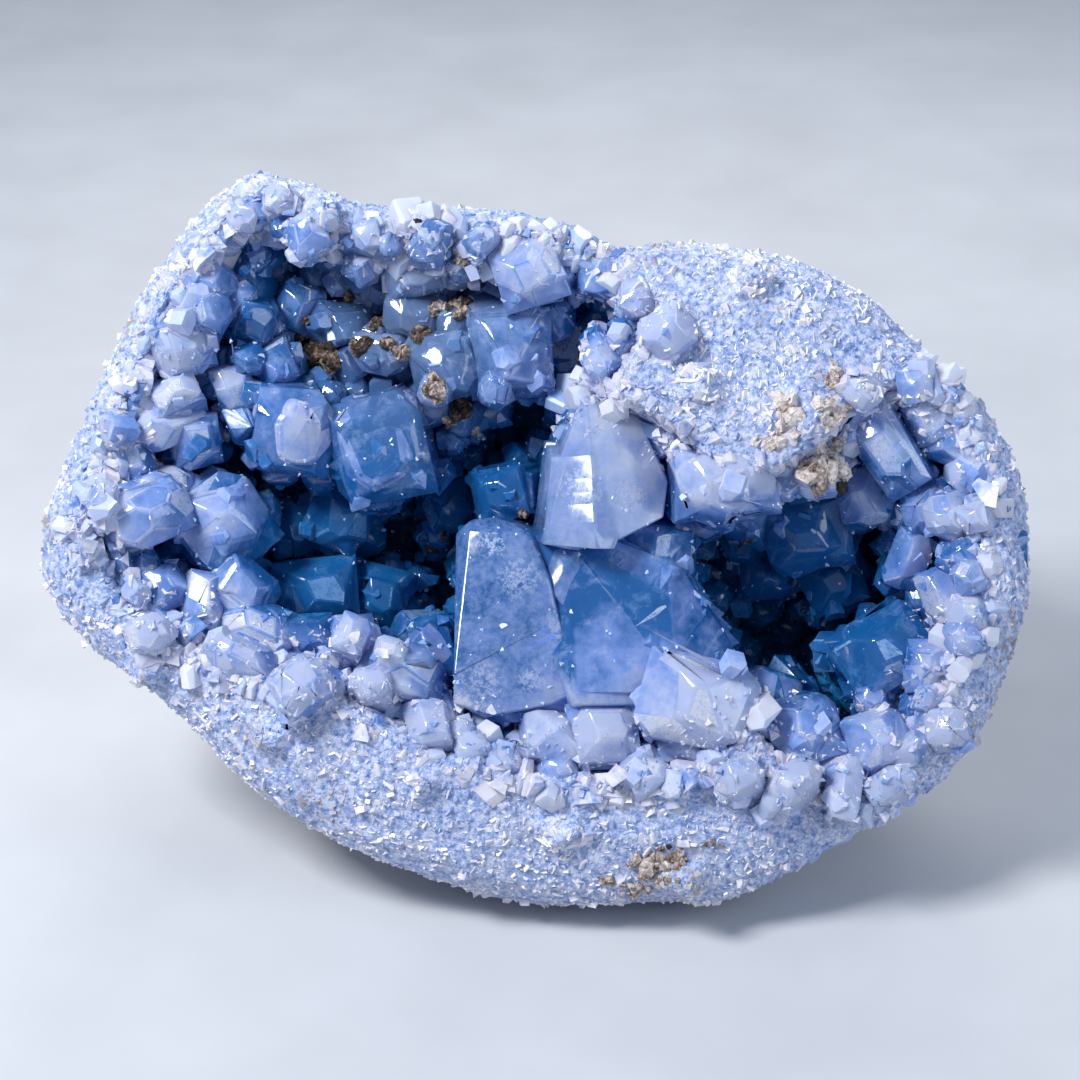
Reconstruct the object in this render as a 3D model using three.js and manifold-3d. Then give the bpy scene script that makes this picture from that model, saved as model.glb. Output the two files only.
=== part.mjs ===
// Celestite geode, broken open across its widest part. Millimetres, +Z up.
//
// It is made of two pieces. The wall is a lumpy rind with a broad rim of pale granular celestite, in which
// small crystals stand. The crust is every blue crystal in the hollow, grown into its neighbours, and the few
// lumps of host rock caught between them.
//
// All of it is drawn in the mouth's own frame: x to the right, z up across the mouth, and y the depth behind
// it. The group then leans back about X, so that the mouth looks up a little, and stands on a small flat.

import * as THREE from "three";
import Module from "manifold-3d";
import { ConvexGeometry } from "three/addons/geometries/ConvexGeometry.js";
import { ImprovedNoise } from "three/addons/math/ImprovedNoise.js";
import { MeshSurfaceSampler } from "three/addons/math/MeshSurfaceSampler.js";
import { mergeVertices } from "three/addons/utils/BufferGeometryUtils.js";

const wasm = await Module();
wasm.setup();

// ---------------------------------------------------------------- driving dimensions

const LEAN_DEG = 30; // how far the mouth leans back from upright
const FLAT_CUT = 3.4; // height taken off the underside to make the flat that it rests on
const GAP = 0.4; // clearance between the wall and the crust
const BED = 3; // thickness of the crust between its crystals
const BED_FRONT = -3; // depth at which that bed starts
const ROOT = 2.5; // how far a crystal is sunk past the bed
const LONGEST_ROOT = 46; // a crystal reaches back no further than this to find the bed
const FOCUS_Y = -78; // the crystals lean towards points this far in front of the mouth

const WHOLE = [300, 400, 300]; // a block wider, deeper and taller than the whole geode

const WALL_COLOUR = 0xc9d2e6;
const CRUST_COLOUR = 0x5f8fc4;

// ---------------------------------------------------------------- outlines, as [right, up] across the mouth
// A station is [depth, width scale, height scale, shift right, shift up] of the outline, from front to back.

const BODY = {
  centre: [0, 0],
  segments: 52,
  outline: [
    [-61, 81], [-52, 79.5], [-45, 75.5], [-31, 75], [-15, 74.5], [-2, 73], [9, 70], [19, 65.2],
    [33, 66.5], [49, 64.5], [64, 60], [76, 53.5], [85, 44], [94, 36], [102, 27], [107, 17], [109.5, 6],
    [109.5, -8], [107.5, -21], [104, -32], [98, -43], [87, -54.5], [76, -61], [68, -65.5], [57, -73],
    [47.5, -78.5], [37, -80], [22, -78.5], [8, -80.5], [-6, -79.5], [-22, -75], [-40, -67.5],
    [-55, -59.5], [-66, -52], [-75, -42], [-86, -32], [-99, -22], [-106, -14.5], [-110.5, -4.5],
    [-109, 5], [-103, 17], [-98, 32], [-94, 44], [-86, 57], [-78, 69], [-70, 77],
  ],
  stations: [
    [-13, 0, 0, 0, 0], [-12.4, 0.34, 0.34, 0, 0], [-10.8, 0.6, 0.6, 0, 0], [-7.6, 0.81, 0.81, 0, 0],
    [-3, 0.94, 0.94, 0, 0], [2, 0.99, 0.99, 0, 0], [10, 1, 1, 0, 0], [22, 0.99, 0.965, 0, 1.8],
    [36, 0.96, 0.905, 0, 3.7], [50, 0.9, 0.83, 0, 4.2], [62, 0.81, 0.75, 0, 2.4],
    [73, 0.68, 0.635, 0, -0.4], [83, 0.49, 0.46, 0, -2.3], [90, 0.26, 0.242, 0, -4.6], [93, 0, 0, 0, -5],
  ],
};

const LEFT_HOLLOW = {
  centre: [-42, 10],
  segments: 24,
  focus: [-40, 4],
  outline: [
    [-61, 73], [-50, 70], [-42, 64], [-20, 64.5], [0, 65], [13, 61], [22.5, 54], [22, 43], [13, 34], [7, 22],
    [4, 4], [2, -14], [0, -32], [-12, -43], [-26, -42], [-38, -31], [-55, -27], [-70, -24], [-83, -17],
    [-92, -6], [-93, 10], [-89, 26], [-83, 42], [-77, 54], [-69, 66],
  ],
  stations: [
    [-34, 0, 0, 0, 0], [-30, 1.25, 1.25, 0, 0], [-6, 1.03, 1.03, 0, 0], [4, 0.98, 0.98, 0, 0],
    [18, 0.91, 0.91, 2, -1], [36, 0.75, 0.75, 6, -4], [50, 0.48, 0.48, 11, -7], [60, 0, 0, 13, -9],
  ],
};

const RIGHT_HOLLOW = {
  centre: [66, -8],
  segments: 20,
  focus: [58, -8],
  outline: [
    [33, 6], [44, 11], [55, 14], [64, 21], [71, 30], [80, 34], [89, 29], [95, 20], [96, 6], [95, -8],
    [92, -22], [86, -35], [79, -49], [70, -56], [60, -52], [50, -42], [40, -30], [33, -12],
  ],
  stations: [
    [-34, 0, 0, 0, 0], [-30, 1.25, 1.25, 0, 0], [-6, 1.03, 1.03, 0, 0], [6, 0.99, 0.99, 0, 0],
    [24, 0.94, 0.94, 0, -1], [42, 0.8, 0.78, -1, -3], [56, 0.52, 0.5, -3, -5], [65, 0, 0, -3, -6],
  ],
};

const MIDDLE_TROUGH = {
  centre: [18, -16],
  segments: 16,
  focus: [20, -14],
  outline: [
    [-14, 26], [4, 31], [22, 28], [36, 18], [48, 2], [52, -18], [48, -38], [36, -47], [16, -50], [-6, -49],
    [-20, -38], [-20, -6],
  ],
  stations: [
    [-34, 0, 0, 0, 0], [-30, 1.06, 1.06, 0, 0], [-4, 1, 1, 0, 0], [12, 0.9, 0.9, 0, 0],
    [23, 0.6, 0.6, 0, 0], [29, 0, 0, 0, 0],
  ],
};

const HOLLOWS = [LEFT_HOLLOW, RIGHT_HOLLOW, MIDDLE_TROUGH];

// ---------------------------------------------------------------- crystal habits
// Each face is [across, along, out, distance] in half-sizes of the crystal: across and along its width and
// height, out towards its tip. The names are those of the crystal faces that celestite grows.

const PINACOIDS = [[1, 0, 0, 1], [-1, 0, 0, 1], [0, 1, 0, 1], [0, -1, 0, 1]];
const PRISMS = [[0.72, 0.69, 0, 1.14], [-0.72, -0.69, 0, 1.12]];
const DOMES = [[0.66, 0, 0.75, 0.86], [-0.6, 0, 0.8, 0.84], [0, 0.62, 0.79, 0.84], [0, -0.68, 0.73, 0.9]];
const TOP = [0.08, 0.05, 1, 0.62];

const HABITS = {
  block: [...PINACOIDS, ...DOMES, TOP],
  stubby: [...PINACOIDS, ...PRISMS, ...DOMES, TOP],
  chisel: [
    ...PINACOIDS, [0.5, 0.1, 0.86, 0.72], [-0.56, 0, 0.83, 0.74], [0, 0.8, 0.6, 1], [0, -0.8, 0.6, 1],
  ],
  pyramid: [
    ...PINACOIDS, [0.62, 0.3, 0.72, 0.7], [-0.66, 0.2, 0.72, 0.7], [0.1, 0.7, 0.7, 0.74],
    [0, -0.66, 0.75, 0.72],
  ],
};

// ---------------------------------------------------------------- crystals chosen one by one
// at: [right, up] of the tip; deep: its depth; size: [wide, tall]; roll: its turn in degrees, anticlockwise;
// lean: the tip's slope to the right and up, where it doesn't lean towards the middle of its hollow.

const LEFT_CRYSTALS = [
  // high left, round the upper pocket
  { at: [-69, 65], deep: 2, size: [9.5, 9], roll: 15, habit: "pyramid" },
  { at: [-58, 61], deep: 20, size: [11, 12], roll: 10 },
  { at: [-53, 52], deep: 15, size: [10, 11], roll: -30, habit: "chisel" },
  { at: [-70, 56], deep: 2, size: [10, 8.5], roll: -50, habit: "stubby" },
  { at: [-71, 49], deep: -1, size: [10.5, 10], roll: -35, habit: "stubby" },
  { at: [-77, 42], deep: 0, size: [14, 13], roll: 10, habit: "stubby" },
  { at: [-62, 48], deep: 8, size: [9.5, 10], roll: -20 },
  // left side
  { at: [-78, 32], deep: 0, size: [11, 8.5], roll: 30, lean: [0.1, 0.35] },
  { at: [-66, 33], deep: 7, size: [9, 12], roll: 15 },
  { at: [-57, 38], deep: 7, size: [9.5, 9], roll: 25, habit: "pyramid" },
  { at: [-74, 22], deep: 5, size: [11, 12], roll: 5 },
  { at: [-88, 19], deep: 2, size: [10, 13], roll: 12, habit: "chisel" },
  { at: [-83, 6], deep: -3, size: [18, 13.5], roll: 20, habit: "stubby" },
  { at: [-69, 4], deep: 8, size: [20, 21], roll: 35, habit: "stubby" },
  // middle of the left hollow
  { at: [-53, 24], deep: 5, size: [17.5, 19.5], roll: -8, habit: "stubby" },
  { at: [-34, 21], deep: 9, size: [22, 24.5], roll: 12, habit: "stubby" },
  { at: [-44, 6], deep: 22, size: [14.5, 16], roll: -25 },
  { at: [-55, 3], deep: 27, size: [11, 12], roll: 10 },
  { at: [-20, 23], deep: 24, size: [9, 9], roll: 0, habit: "pyramid" },
  { at: [-20, 8], deep: 31, size: [12, 12], roll: 25, habit: "pyramid" },
  { at: [-7, 11], deep: 18, size: [14, 13], roll: 10 },
  // upper wall, grey round the host rock
  { at: [-27, 59], deep: 5, size: [14, 12], roll: 20, habit: "pyramid" },
  { at: [-27, 50], deep: 10, size: [13, 10.5], roll: -10 },
  { at: [-42, 47], deep: 14, size: [11, 10], roll: 0, habit: "pyramid" },
  { at: [-20, 39], deep: 8, size: [15, 15], roll: 15, habit: "stubby" },
  { at: [-1, 58], deep: -1, size: [15.5, 14.5], roll: 18, lean: [-0.1, -0.15] },
  { at: [-5, 40], deep: 6, size: [18, 20], roll: 4, lean: [-0.05, -0.55], habit: "pyramid" },
  { at: [6, 43], deep: 20, size: [15, 16], roll: 35, habit: "chisel" },
  { at: [13, 57], deep: 1, size: [11, 11], roll: 15, habit: "pyramid" },
  // floor of the left hollow
  { at: [-49, -11], deep: 21, size: [20, 14.5], roll: 8 },
  { at: [-35, -12], deep: 26, size: [13, 14.5], roll: -15 },
  { at: [-65, -11], deep: 7, size: [16.5, 15], roll: -35, habit: "stubby" },
  { at: [-72, -13], deep: 2, size: [8.5, 12.5], roll: -8, habit: "chisel" },
  { at: [-80, -10], deep: 1, size: [10, 10], roll: 25, habit: "pyramid" },
  { at: [-61, -19], deep: 5, size: [17, 12], roll: -12 },
  { at: [-51, -21], deep: 8, size: [14, 10], roll: 5 },
  { at: [-39, -21], deep: 1, size: [11, 11], roll: 10, habit: "pyramid" },
  { at: [-30, -28], deep: -1, size: [17, 13], roll: -10, habit: "stubby" },
  { at: [-23, -24], deep: 11, size: [10, 16], roll: 12, habit: "chisel" },
  { at: [-22, -38], deep: 2, size: [10.5, 13], roll: 18 },
];

const MIDDLE_CRYSTALS = [
  { at: [41, 12], deep: -5, size: [22, 17], roll: 4, lean: [0.1, -0.35], habit: "pyramid" },
  { at: [28, 23], deep: 2, size: [11, 10], roll: 20, habit: "chisel" },
  { at: [26, -1], deep: 5, size: [17, 10], roll: -10, habit: "chisel" },
  { at: [35, -35], deep: -5, size: [25, 20], roll: -12, lean: [0, 0.1], habit: "stubby" },
  { at: [15, -41], deep: -2, size: [15, 14], roll: 10 },
  { at: [4, -42], deep: -3, size: [12, 12], roll: 0, habit: "pyramid" },
];

const RIGHT_CRYSTALS = [
  { at: [77, 20], deep: 2, size: [12, 22], roll: 35 },
  { at: [73, 10], deep: 12, size: [13, 14], roll: 20 },
  { at: [85, 27], deep: 0, size: [9.5, 12], roll: 25, habit: "chisel" },
  { at: [90, 21], deep: 1, size: [11, 10], roll: -15, habit: "pyramid" },
  { at: [86, 7], deep: 5, size: [11, 11], roll: 15, habit: "stubby" },
  { at: [61, 2], deep: 18, size: [19.5, 18], roll: 12, habit: "stubby" },
  { at: [48, 6], deep: 18, size: [13, 13], roll: -25 },
  { at: [82, -4], deep: 9, size: [9, 14], roll: -20, habit: "chisel" },
  { at: [53, -8], deep: 30, size: [12, 10], roll: 0, habit: "pyramid" },
  { at: [68, -9], deep: 26, size: [14, 13], roll: 25 },
  { at: [58, -41], deep: 2, size: [16.5, 16], roll: 15, habit: "stubby" },
  { at: [53, -33], deep: 17, size: [13, 9], roll: -15, habit: "chisel" },
  { at: [77, -24], deep: 9, size: [21, 18], roll: 32, habit: "stubby" },
  { at: [74, -43], deep: 0, size: [14, 13.5], roll: 20, habit: "stubby" },
  { at: [86, -27], deep: 1, size: [12, 12], roll: 0 },
  { at: [89, -11], deep: 3, size: [10, 12], roll: 20, habit: "chisel" },
  { at: [65, -50], deep: 2, size: [10, 12], roll: -20, habit: "chisel" },
];

// Three large crystals on the ridge in the middle, each drawn by the outline of its own sides, anticlockwise
// as [right, up]. Its tips are faces [right, up, out, distance from at].
const MIDDLE_PLATES = [
  {
    // tall slab with an upright left edge
    at: [-4, -17],
    deep: -2,
    lean: [-0.1, 0.03],
    outline: [
      [-17.5, -35], [-9, -39.5], [6, -38.5], [11, -30], [9.5, -2], [1, 1.5], [-8.5, 5], [-17.3, 3.4],
    ],
    tips: [[0.07, 0.02, 1, 0], [-0.8, 0.1, 0.6, 10.2], [0.1, 0.75, 0.66, 13.6], [0.2, -0.7, 0.7, 13.2]],
  },
  {
    // broad fan, its right side ragged
    at: [22, -15],
    deep: -3,
    lean: [0.12, 0.1],
    outline: [
      [9, -33], [36, -32.5], [45, -30], [44, -22], [40.5, -16], [36.5, -10.5], [30, -3], [18.5, 1],
      [8, 0.5], [0, -4], [1, -20],
    ],
    tips: [[-0.05, 0.08, 1, 0], [0.42, 0.1, 0.9, 3.6], [0.2, 0.75, 0.63, 9.4], [-0.5, 0.1, 0.86, 6.8]],
  },
  {
    // stepped pyramid, its lower left corner foremost
    at: [13, 5],
    deep: -8,
    lean: [0.02, -0.2],
    outline: [[1.8, -1.2], [17.7, -0.2], [27.4, 4.2], [28.2, 11], [22, 24.5], [11, 29.4], [5, 14.5]],
    tips: [[-0.42, 0.2, 0.88, 0.6], [0.36, 0.26, 0.9, 0.6], [0.05, -0.6, 0.8, 3.2]],
  },
];

// Lumps of host rock, caught in the crust and in the granular rim.
const CRUST_ROCK = [
  { at: [-46, 49], deep: 14, radius: 6 },
  { at: [-37, 43], deep: 13, radius: 5.5 },
  { at: [-30, 40], deep: 16, radius: 5 },
  { at: [-15, 48], deep: 12, radius: 5.5 },
  { at: [-14, 29], deep: 18, radius: 5 },
];
const RIM_ROCK = [
  { at: [50, 25], deep: -9, radius: 6 },
  { at: [58, 31], deep: -8.5, radius: 7 },
  { at: [59, 22], deep: -7.5, radius: 6 },
];

// ---------------------------------------------------------------- chance, noise and solids

// The same numbers from 0 to 1 on every run (mulberry32).
function randomNumbers(seed) {
  let state = seed;
  return () => {
    state = (state + 0x6d2b79f5) | 0;
    let mixed = Math.imul(state ^ (state >>> 15), 1 | state);
    mixed = (mixed + Math.imul(mixed ^ (mixed >>> 7), 61 | mixed)) ^ mixed;
    return ((mixed ^ (mixed >>> 14)) >>> 0) / 4294967296;
  };
}

const noise = new ImprovedNoise();
const between = (random, low, high) => low + (high - low) * random();

function solidOf(geometry) {
  const bare = geometry.clone();
  bare.deleteAttribute("normal");
  bare.deleteAttribute("uv");
  const merged = mergeVertices(bare, 1e-3);
  return new wasm.Manifold(
    new wasm.Mesh({
      numProp: 3,
      vertProperties: merged.attributes.position.array,
      triVerts: new Uint32Array(merged.index.array),
    }),
  );
}

function geometryOf(solid) {
  const mesh = solid.getMesh();
  return new THREE.BufferGeometry()
    .setAttribute("position", new THREE.BufferAttribute(mesh.vertProperties, 3))
    .setIndex(new THREE.BufferAttribute(mesh.triVerts, 1));
}

// The biggest of a solid's separate bodies, so that no chip is left floating.
function largestBody(solid) {
  return solid.decompose().reduce((best, body) => (body.volume() > best.volume() ? body : best));
}

// ---------------------------------------------------------------- bowls

// A closed form that repeats its outline at every station, with lumps of the given height and about the given
// width, which stand higher behind the mouth. Its surface is moved out by grow, or in where grow is below 0.
function bowl({ centre, outline, stations, segments }, { grow = 0, lump = 0, lumpWidth = 30 } = {}) {
  const [centreX, centreZ] = centre;
  const curve = new THREE.CatmullRomCurve3(
    outline.map(([x, z]) => new THREE.Vector3(x - centreX, 0, z - centreZ)),
    true,
    "centripetal",
  );
  const ring = curve.getSpacedPoints(segments).slice(0, segments);
  const lumpAt = (x, y, z) => {
    const [u, v, w] = [x / lumpWidth + 7, y / lumpWidth + 3, z / lumpWidth + 11];
    const behind = 0.4 + 1.2 * THREE.MathUtils.smoothstep(y, 4, 40);
    const nearAxis = Math.min(1, Math.hypot(x, z) / (2 * lumpWidth));
    return lump * behind * nearAxis * (noise.noise(u, v, w) + 0.6 * noise.noise(u * 2.1, v * 2.1, w * 2.1));
  };

  const points = [];
  for (const [depth, wide, tall, right, up] of stations) {
    for (const { x, z } of wide === 0 ? [new THREE.Vector3()] : ring) {
      const swell = wide === 0 ? 1 : 1 + lumpAt(x * wide, depth, z * tall) / Math.hypot(x * wide, z * tall);
      points.push(
        centreX + right + x * wide * swell,
        depth + (wide === 0 ? 0 : lumpAt(z, depth, x) * 0.4),
        centreZ + up + z * tall * swell,
      );
    }
  }

  const faces = [];
  const rings = stations.length - 2;
  const at = (row, column) => 1 + row * segments + (column % segments);
  const backPole = 1 + rings * segments;
  for (let column = 0; column < segments; column++) {
    faces.push(0, at(0, column + 1), at(0, column));
    faces.push(backPole, at(rings - 1, column), at(rings - 1, column + 1));
    for (let row = 0; row < rings - 1; row++) {
      const [a, b] = [at(row, column), at(row, column + 1)];
      const [c, d] = [at(row + 1, column + 1), at(row + 1, column)];
      faces.push(a, b, d, b, c, d);
    }
  }
  const geometry = new THREE.BufferGeometry()
    .setAttribute("position", new THREE.Float32BufferAttribute(points, 3))
    .setIndex(faces);
  if (grow === 0) return geometry;

  geometry.computeVertexNormals();
  const { position, normal } = geometry.attributes;
  for (let i = 0; i < position.count; i++) {
    const moved = new THREE.Vector3().fromBufferAttribute(position, i);
    moved.addScaledVector(new THREE.Vector3().fromBufferAttribute(normal, i), grow);
    position.setXYZ(i, ...moved);
  }
  return geometry.deleteAttribute("normal");
}

const BODY_LUMPS = { lump: 4.5, lumpWidth: 34 };
const HOLLOW_LUMPS = { lump: 2, lumpWidth: 22 };

const unionOf = (solids) => solids.reduce((all, one) => all.add(one));
const hollowSolid = (grow) =>
  unionOf(HOLLOWS.map((hollow) => solidOf(bowl(hollow, { grow, ...HOLLOW_LUMPS }))));

// ---------------------------------------------------------------- crystals

// The corners where three faces meet, kept where no other face cuts them off.
function cornersOf(faces) {
  const planes = faces.map(
    ([x, y, z, distance]) => new THREE.Plane(new THREE.Vector3(x, y, z).normalize(), -distance),
  );
  const corners = [];
  for (let i = 0; i < planes.length; i++)
    for (let j = i + 1; j < planes.length; j++)
      for (let k = j + 1; k < planes.length; k++) {
        const normals = new THREE.Matrix3().set(
          ...planes[i].normal.toArray(), ...planes[j].normal.toArray(), ...planes[k].normal.toArray(),
        );
        if (Math.abs(normals.determinant()) < 1e-3) continue;
        const corner = new THREE.Vector3(
          -planes[i].constant, -planes[j].constant, -planes[k].constant,
        ).applyMatrix3(normals.invert());
        if (planes.every((plane) => plane.distanceToPoint(corner) < 1e-6)) corners.push(corner);
      }
  return corners;
}

// A crystal of one habit: its faces are moved a little by chance, as no two grow alike.
function crystalGeometry({ habit = "block", size, root, random }) {
  const [wide, tall] = size;
  const out = Math.sqrt(wide * tall) / 2;
  const faces = HABITS[habit].map(([x, y, z, distance]) => [
    x + between(random, -0.07, 0.07),
    y + between(random, -0.07, 0.07),
    z + between(random, -0.05, 0.05),
    distance * between(random, 0.93, 1.05),
  ]);
  faces.push([0, 0, -1, root / out]);
  return new ConvexGeometry(cornersOf(faces)).scale(wide / 2, tall / 2, out);
}

// Turns a crystal so that it grows along the given direction, and sets its tip in place.
function placed(geometry, tip, growth, rollDeg) {
  const across = new THREE.Vector3(1, 0, 0).addScaledVector(growth, -growth.x).normalize();
  const along = growth.clone().cross(across);
  const turn = new THREE.Matrix4().makeBasis(across, along, growth);
  const roll = new THREE.Matrix4().makeRotationZ(THREE.MathUtils.degToRad(rollDeg));
  return geometry.applyMatrix4(turn.multiply(roll).setPosition(tip));
}

const bothSides = new THREE.MeshBasicMaterial({ side: THREE.DoubleSide });
const hollowWalls = HOLLOWS.map((hollow) => {
  const walls = new THREE.Mesh(bowl(hollow, HOLLOW_LUMPS), bothSides);
  walls.updateMatrixWorld();
  return walls;
});

// How far a crystal reaches back to be rooted past the last hollow wall behind it.
function rootLength(tip, growth) {
  const ray = new THREE.Raycaster(tip, growth.clone().negate(), 0, LONGEST_ROOT);
  const hits = ray.intersectObjects(hollowWalls);
  return ROOT + (hits.length ? hits[hits.length - 1].distance : 0);
}

function growthTowards(tip, focus, lean) {
  if (lean) return new THREE.Vector3(lean[0], -1, lean[1]).normalize();
  return new THREE.Vector3(focus[0], FOCUS_Y, focus[1]).sub(tip).normalize();
}

function chosenCrystals(list, hollow, random) {
  return list.map(({ at, deep, size, roll, lean, habit }) => {
    const tip = new THREE.Vector3(at[0], deep, at[1]);
    const growth = growthTowards(tip, hollow.focus, lean);
    const root = Math.max(rootLength(tip, growth), Math.max(...size) * 0.9);
    return solidOf(placed(crystalGeometry({ habit, size, root, random }), tip, growth, roll));
  });
}

// A crystal whose sides follow an outline, a little narrower towards its tip.
function outlinedCrystals(list) {
  const draft = 0.08;
  return list.map(({ at, deep, lean, outline, tips }) => {
    const tip = new THREE.Vector3(at[0], deep, at[1]);
    const growth = growthTowards(tip, null, lean);
    const corners = outline.map(([x, z]) => [x - at[0], z - at[1]]);
    const sides = corners.map(([x, z], i) => {
      const [nextX, nextZ] = corners[(i + 1) % corners.length];
      const side = new THREE.Vector3(nextZ - z, x - nextX, 0).normalize();
      return [side.x, side.y, draft, side.x * x + side.y * z];
    });
    const back = [0, 0, -1, rootLength(tip, growth)];
    return solidOf(placed(new ConvexGeometry(cornersOf([...sides, ...tips, back])), tip, growth, 0));
  });
}

// Small crystals scattered over the bed of a hollow, standing square to it.
function scatteredCrystals(hollow, count, [smallest, biggest], random) {
  const bed = new THREE.Mesh(bowl(hollow, HOLLOW_LUMPS).toNonIndexed());
  const sampler = new MeshSurfaceSampler(bed).setRandomGenerator(random).build();
  const solids = [];
  const point = new THREE.Vector3();
  const normal = new THREE.Vector3();
  while (solids.length < count) {
    sampler.sample(point, normal);
    if (point.y < 1 || insideAnother(point, hollow)) continue;
    const size = between(random, smallest, biggest);
    const growth = normal.clone().negate();
    growth.x += between(random, -0.4, 0.4);
    growth.y -= between(random, 0, 0.5);
    growth.z += between(random, -0.4, 0.4);
    growth.normalize();
    const tip = point.clone().addScaledVector(growth, BED + size * between(random, 0.1, 0.5));
    const shape = crystalGeometry({
      habit: random() < 0.5 ? "pyramid" : "chisel",
      size: [size, size * between(random, 0.8, 1.3)],
      root: BED + size * 0.6,
      random,
    });
    solids.push(solidOf(placed(shape, tip, growth, between(random, 0, 180))));
  }
  return solids;
}

// Whether a point of one hollow's wall lies in the open space of another.
function insideAnother(point, own) {
  return HOLLOWS.some((other, index) => {
    if (other === own) return false;
    const towardsFront = new THREE.Raycaster(point, new THREE.Vector3(0, -1, 0));
    const hits = towardsFront.intersectObject(hollowWalls[index]);
    return hits.length % 2 === 1;
  });
}

// Small pale crystals that stand out of the broken rim, part of the wall, none near another.
function rimCrystals(count, random) {
  const front = new THREE.Mesh(bowl(BODY, BODY_LUMPS).toNonIndexed());
  const sampler = new MeshSurfaceSampler(front).setRandomGenerator(random).build();
  const places = [];
  const solids = [];
  const point = new THREE.Vector3();
  const normal = new THREE.Vector3();
  while (solids.length < count) {
    sampler.sample(point, normal);
    if (point.y > -3 || normal.y > -0.3 || insideAnother(point, null)) continue;
    if (places.some((place) => place.distanceTo(point) < 20)) continue;
    places.push(point.clone());
    const size = between(random, 7, 11);
    const growth = normal.clone();
    growth.x += between(random, -0.35, 0.35);
    growth.z += between(random, -0.35, 0.35);
    growth.normalize();
    const tip = point.clone().addScaledVector(growth, size * 0.03);
    const shape = crystalGeometry({
      habit: random() < 0.6 ? "pyramid" : "chisel",
      size: [size, size * between(random, 0.8, 1.3)],
      root: size * 0.8,
      random,
    });
    solids.push(solidOf(placed(shape, tip, growth, between(random, 0, 180))));
  }
  return solids;
}

function hostRock(list, random) {
  return list.map(({ at, deep, radius }) => {
    const lump = new THREE.DodecahedronGeometry(radius, 0);
    const position = lump.attributes.position;
    for (let i = 0; i < position.count; i++) {
      const point = new THREE.Vector3().fromBufferAttribute(position, i);
      const swell = 1 + 0.35 * noise.noise(point.x / 3 + at[0], point.y / 3, point.z / 3 + at[1]);
      position.setXYZ(i, point.x * swell, point.y * swell, point.z * swell);
    }
    return solidOf(lump.rotateY(between(random, 0, 3)).translate(at[0], deep + radius * 0.4, at[1]));
  });
}

// ---------------------------------------------------------------- the two pieces

const random = randomNumbers(1874);

const wallSolid = unionOf([
  solidOf(bowl(BODY, BODY_LUMPS)),
  ...rimCrystals(14, random),
  ...hostRock(RIM_ROCK, random),
]).subtract(hollowSolid(GAP));

// The crust is all that lies inside the hollow's own surface: its crystals, and the bed that they stand in.
const behindMouth = new THREE.BoxGeometry(...WHOLE).translate(0, WHOLE[1] / 2 + BED_FRONT, 0);
const bed = solidOf(behindMouth).subtract(hollowSolid(-BED));
const crustSolid = unionOf([
  bed,
  ...chosenCrystals(LEFT_CRYSTALS, LEFT_HOLLOW, random),
  ...chosenCrystals(MIDDLE_CRYSTALS, MIDDLE_TROUGH, random),
  ...outlinedCrystals(MIDDLE_PLATES),
  ...chosenCrystals(RIGHT_CRYSTALS, RIGHT_HOLLOW, random),
  ...scatteredCrystals(LEFT_HOLLOW, 5, [8, 11], random),
  ...scatteredCrystals(RIGHT_HOLLOW, 4, [8, 11], random),
  ...hostRock(CRUST_ROCK, random),
]).intersect(hollowSolid(0));

// ---------------------------------------------------------------- standing it up

const lean = -THREE.MathUtils.degToRad(LEAN_DEG);
const leant = new THREE.Matrix4().makeRotationX(lean);

// A plane across the underside, level once the geode leans back.
function groundFlat(solid, cutHeight) {
  const upright = geometryOf(solid).applyMatrix4(leant);
  upright.computeBoundingBox();
  const level = upright.boundingBox.min.z + cutHeight;
  const below = new THREE.BoxGeometry(...WHOLE).translate(0, 0, level - WHOLE[2] / 2);
  return solid.subtract(solidOf(below.applyMatrix4(leant.clone().invert())));
}

const wallGeometry = geometryOf(largestBody(groundFlat(wallSolid, FLAT_CUT)));
const crustGeometry = geometryOf(largestBody(crustSolid));

function piece(name, geometry, material) {
  const mesh = new THREE.Mesh(geometry, new THREE.MeshStandardMaterial({ flatShading: true, ...material }));
  mesh.name = name;
  return mesh;
}

const leaning = new THREE.Group();
leaning.rotation.x = lean;
leaning.add(
  piece("geode_wall", wallGeometry, { color: WALL_COLOUR, roughness: 0.85, metalness: 0 }),
  piece("crystal_crust", crustGeometry, { color: CRUST_COLOUR, roughness: 0.2, metalness: 0 }),
);

// The origin is under the middle of the whole geode, on the surface that it stands on.
const geode = new THREE.Group();
geode.add(leaning);
const box = new THREE.Box3().setFromObject(geode, true);
const middle = box.getCenter(new THREE.Vector3());
leaning.position.set(-middle.x, -middle.y, -box.min.z);

export default geode;
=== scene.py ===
# %% [markdown]
# # A celestite geode
# This lesson dresses a geode that has been broken open: a lumpy wall of pale, sugary celestite round
# hollows that are lined with blocky blue crystals. The solids come from a CAD model, which stays as a fixed
# frame. Everything here is made round that frame, in metres, so nothing has to be fitted afterwards.

# %% Load the geode's solids
import math
from contextlib import contextmanager
from functools import reduce

import bpy
import numpy as np
from mathutils import Matrix, Vector
from mathutils.bvhtree import BVHTree
from mathutils.kdtree import KDTree


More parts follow.
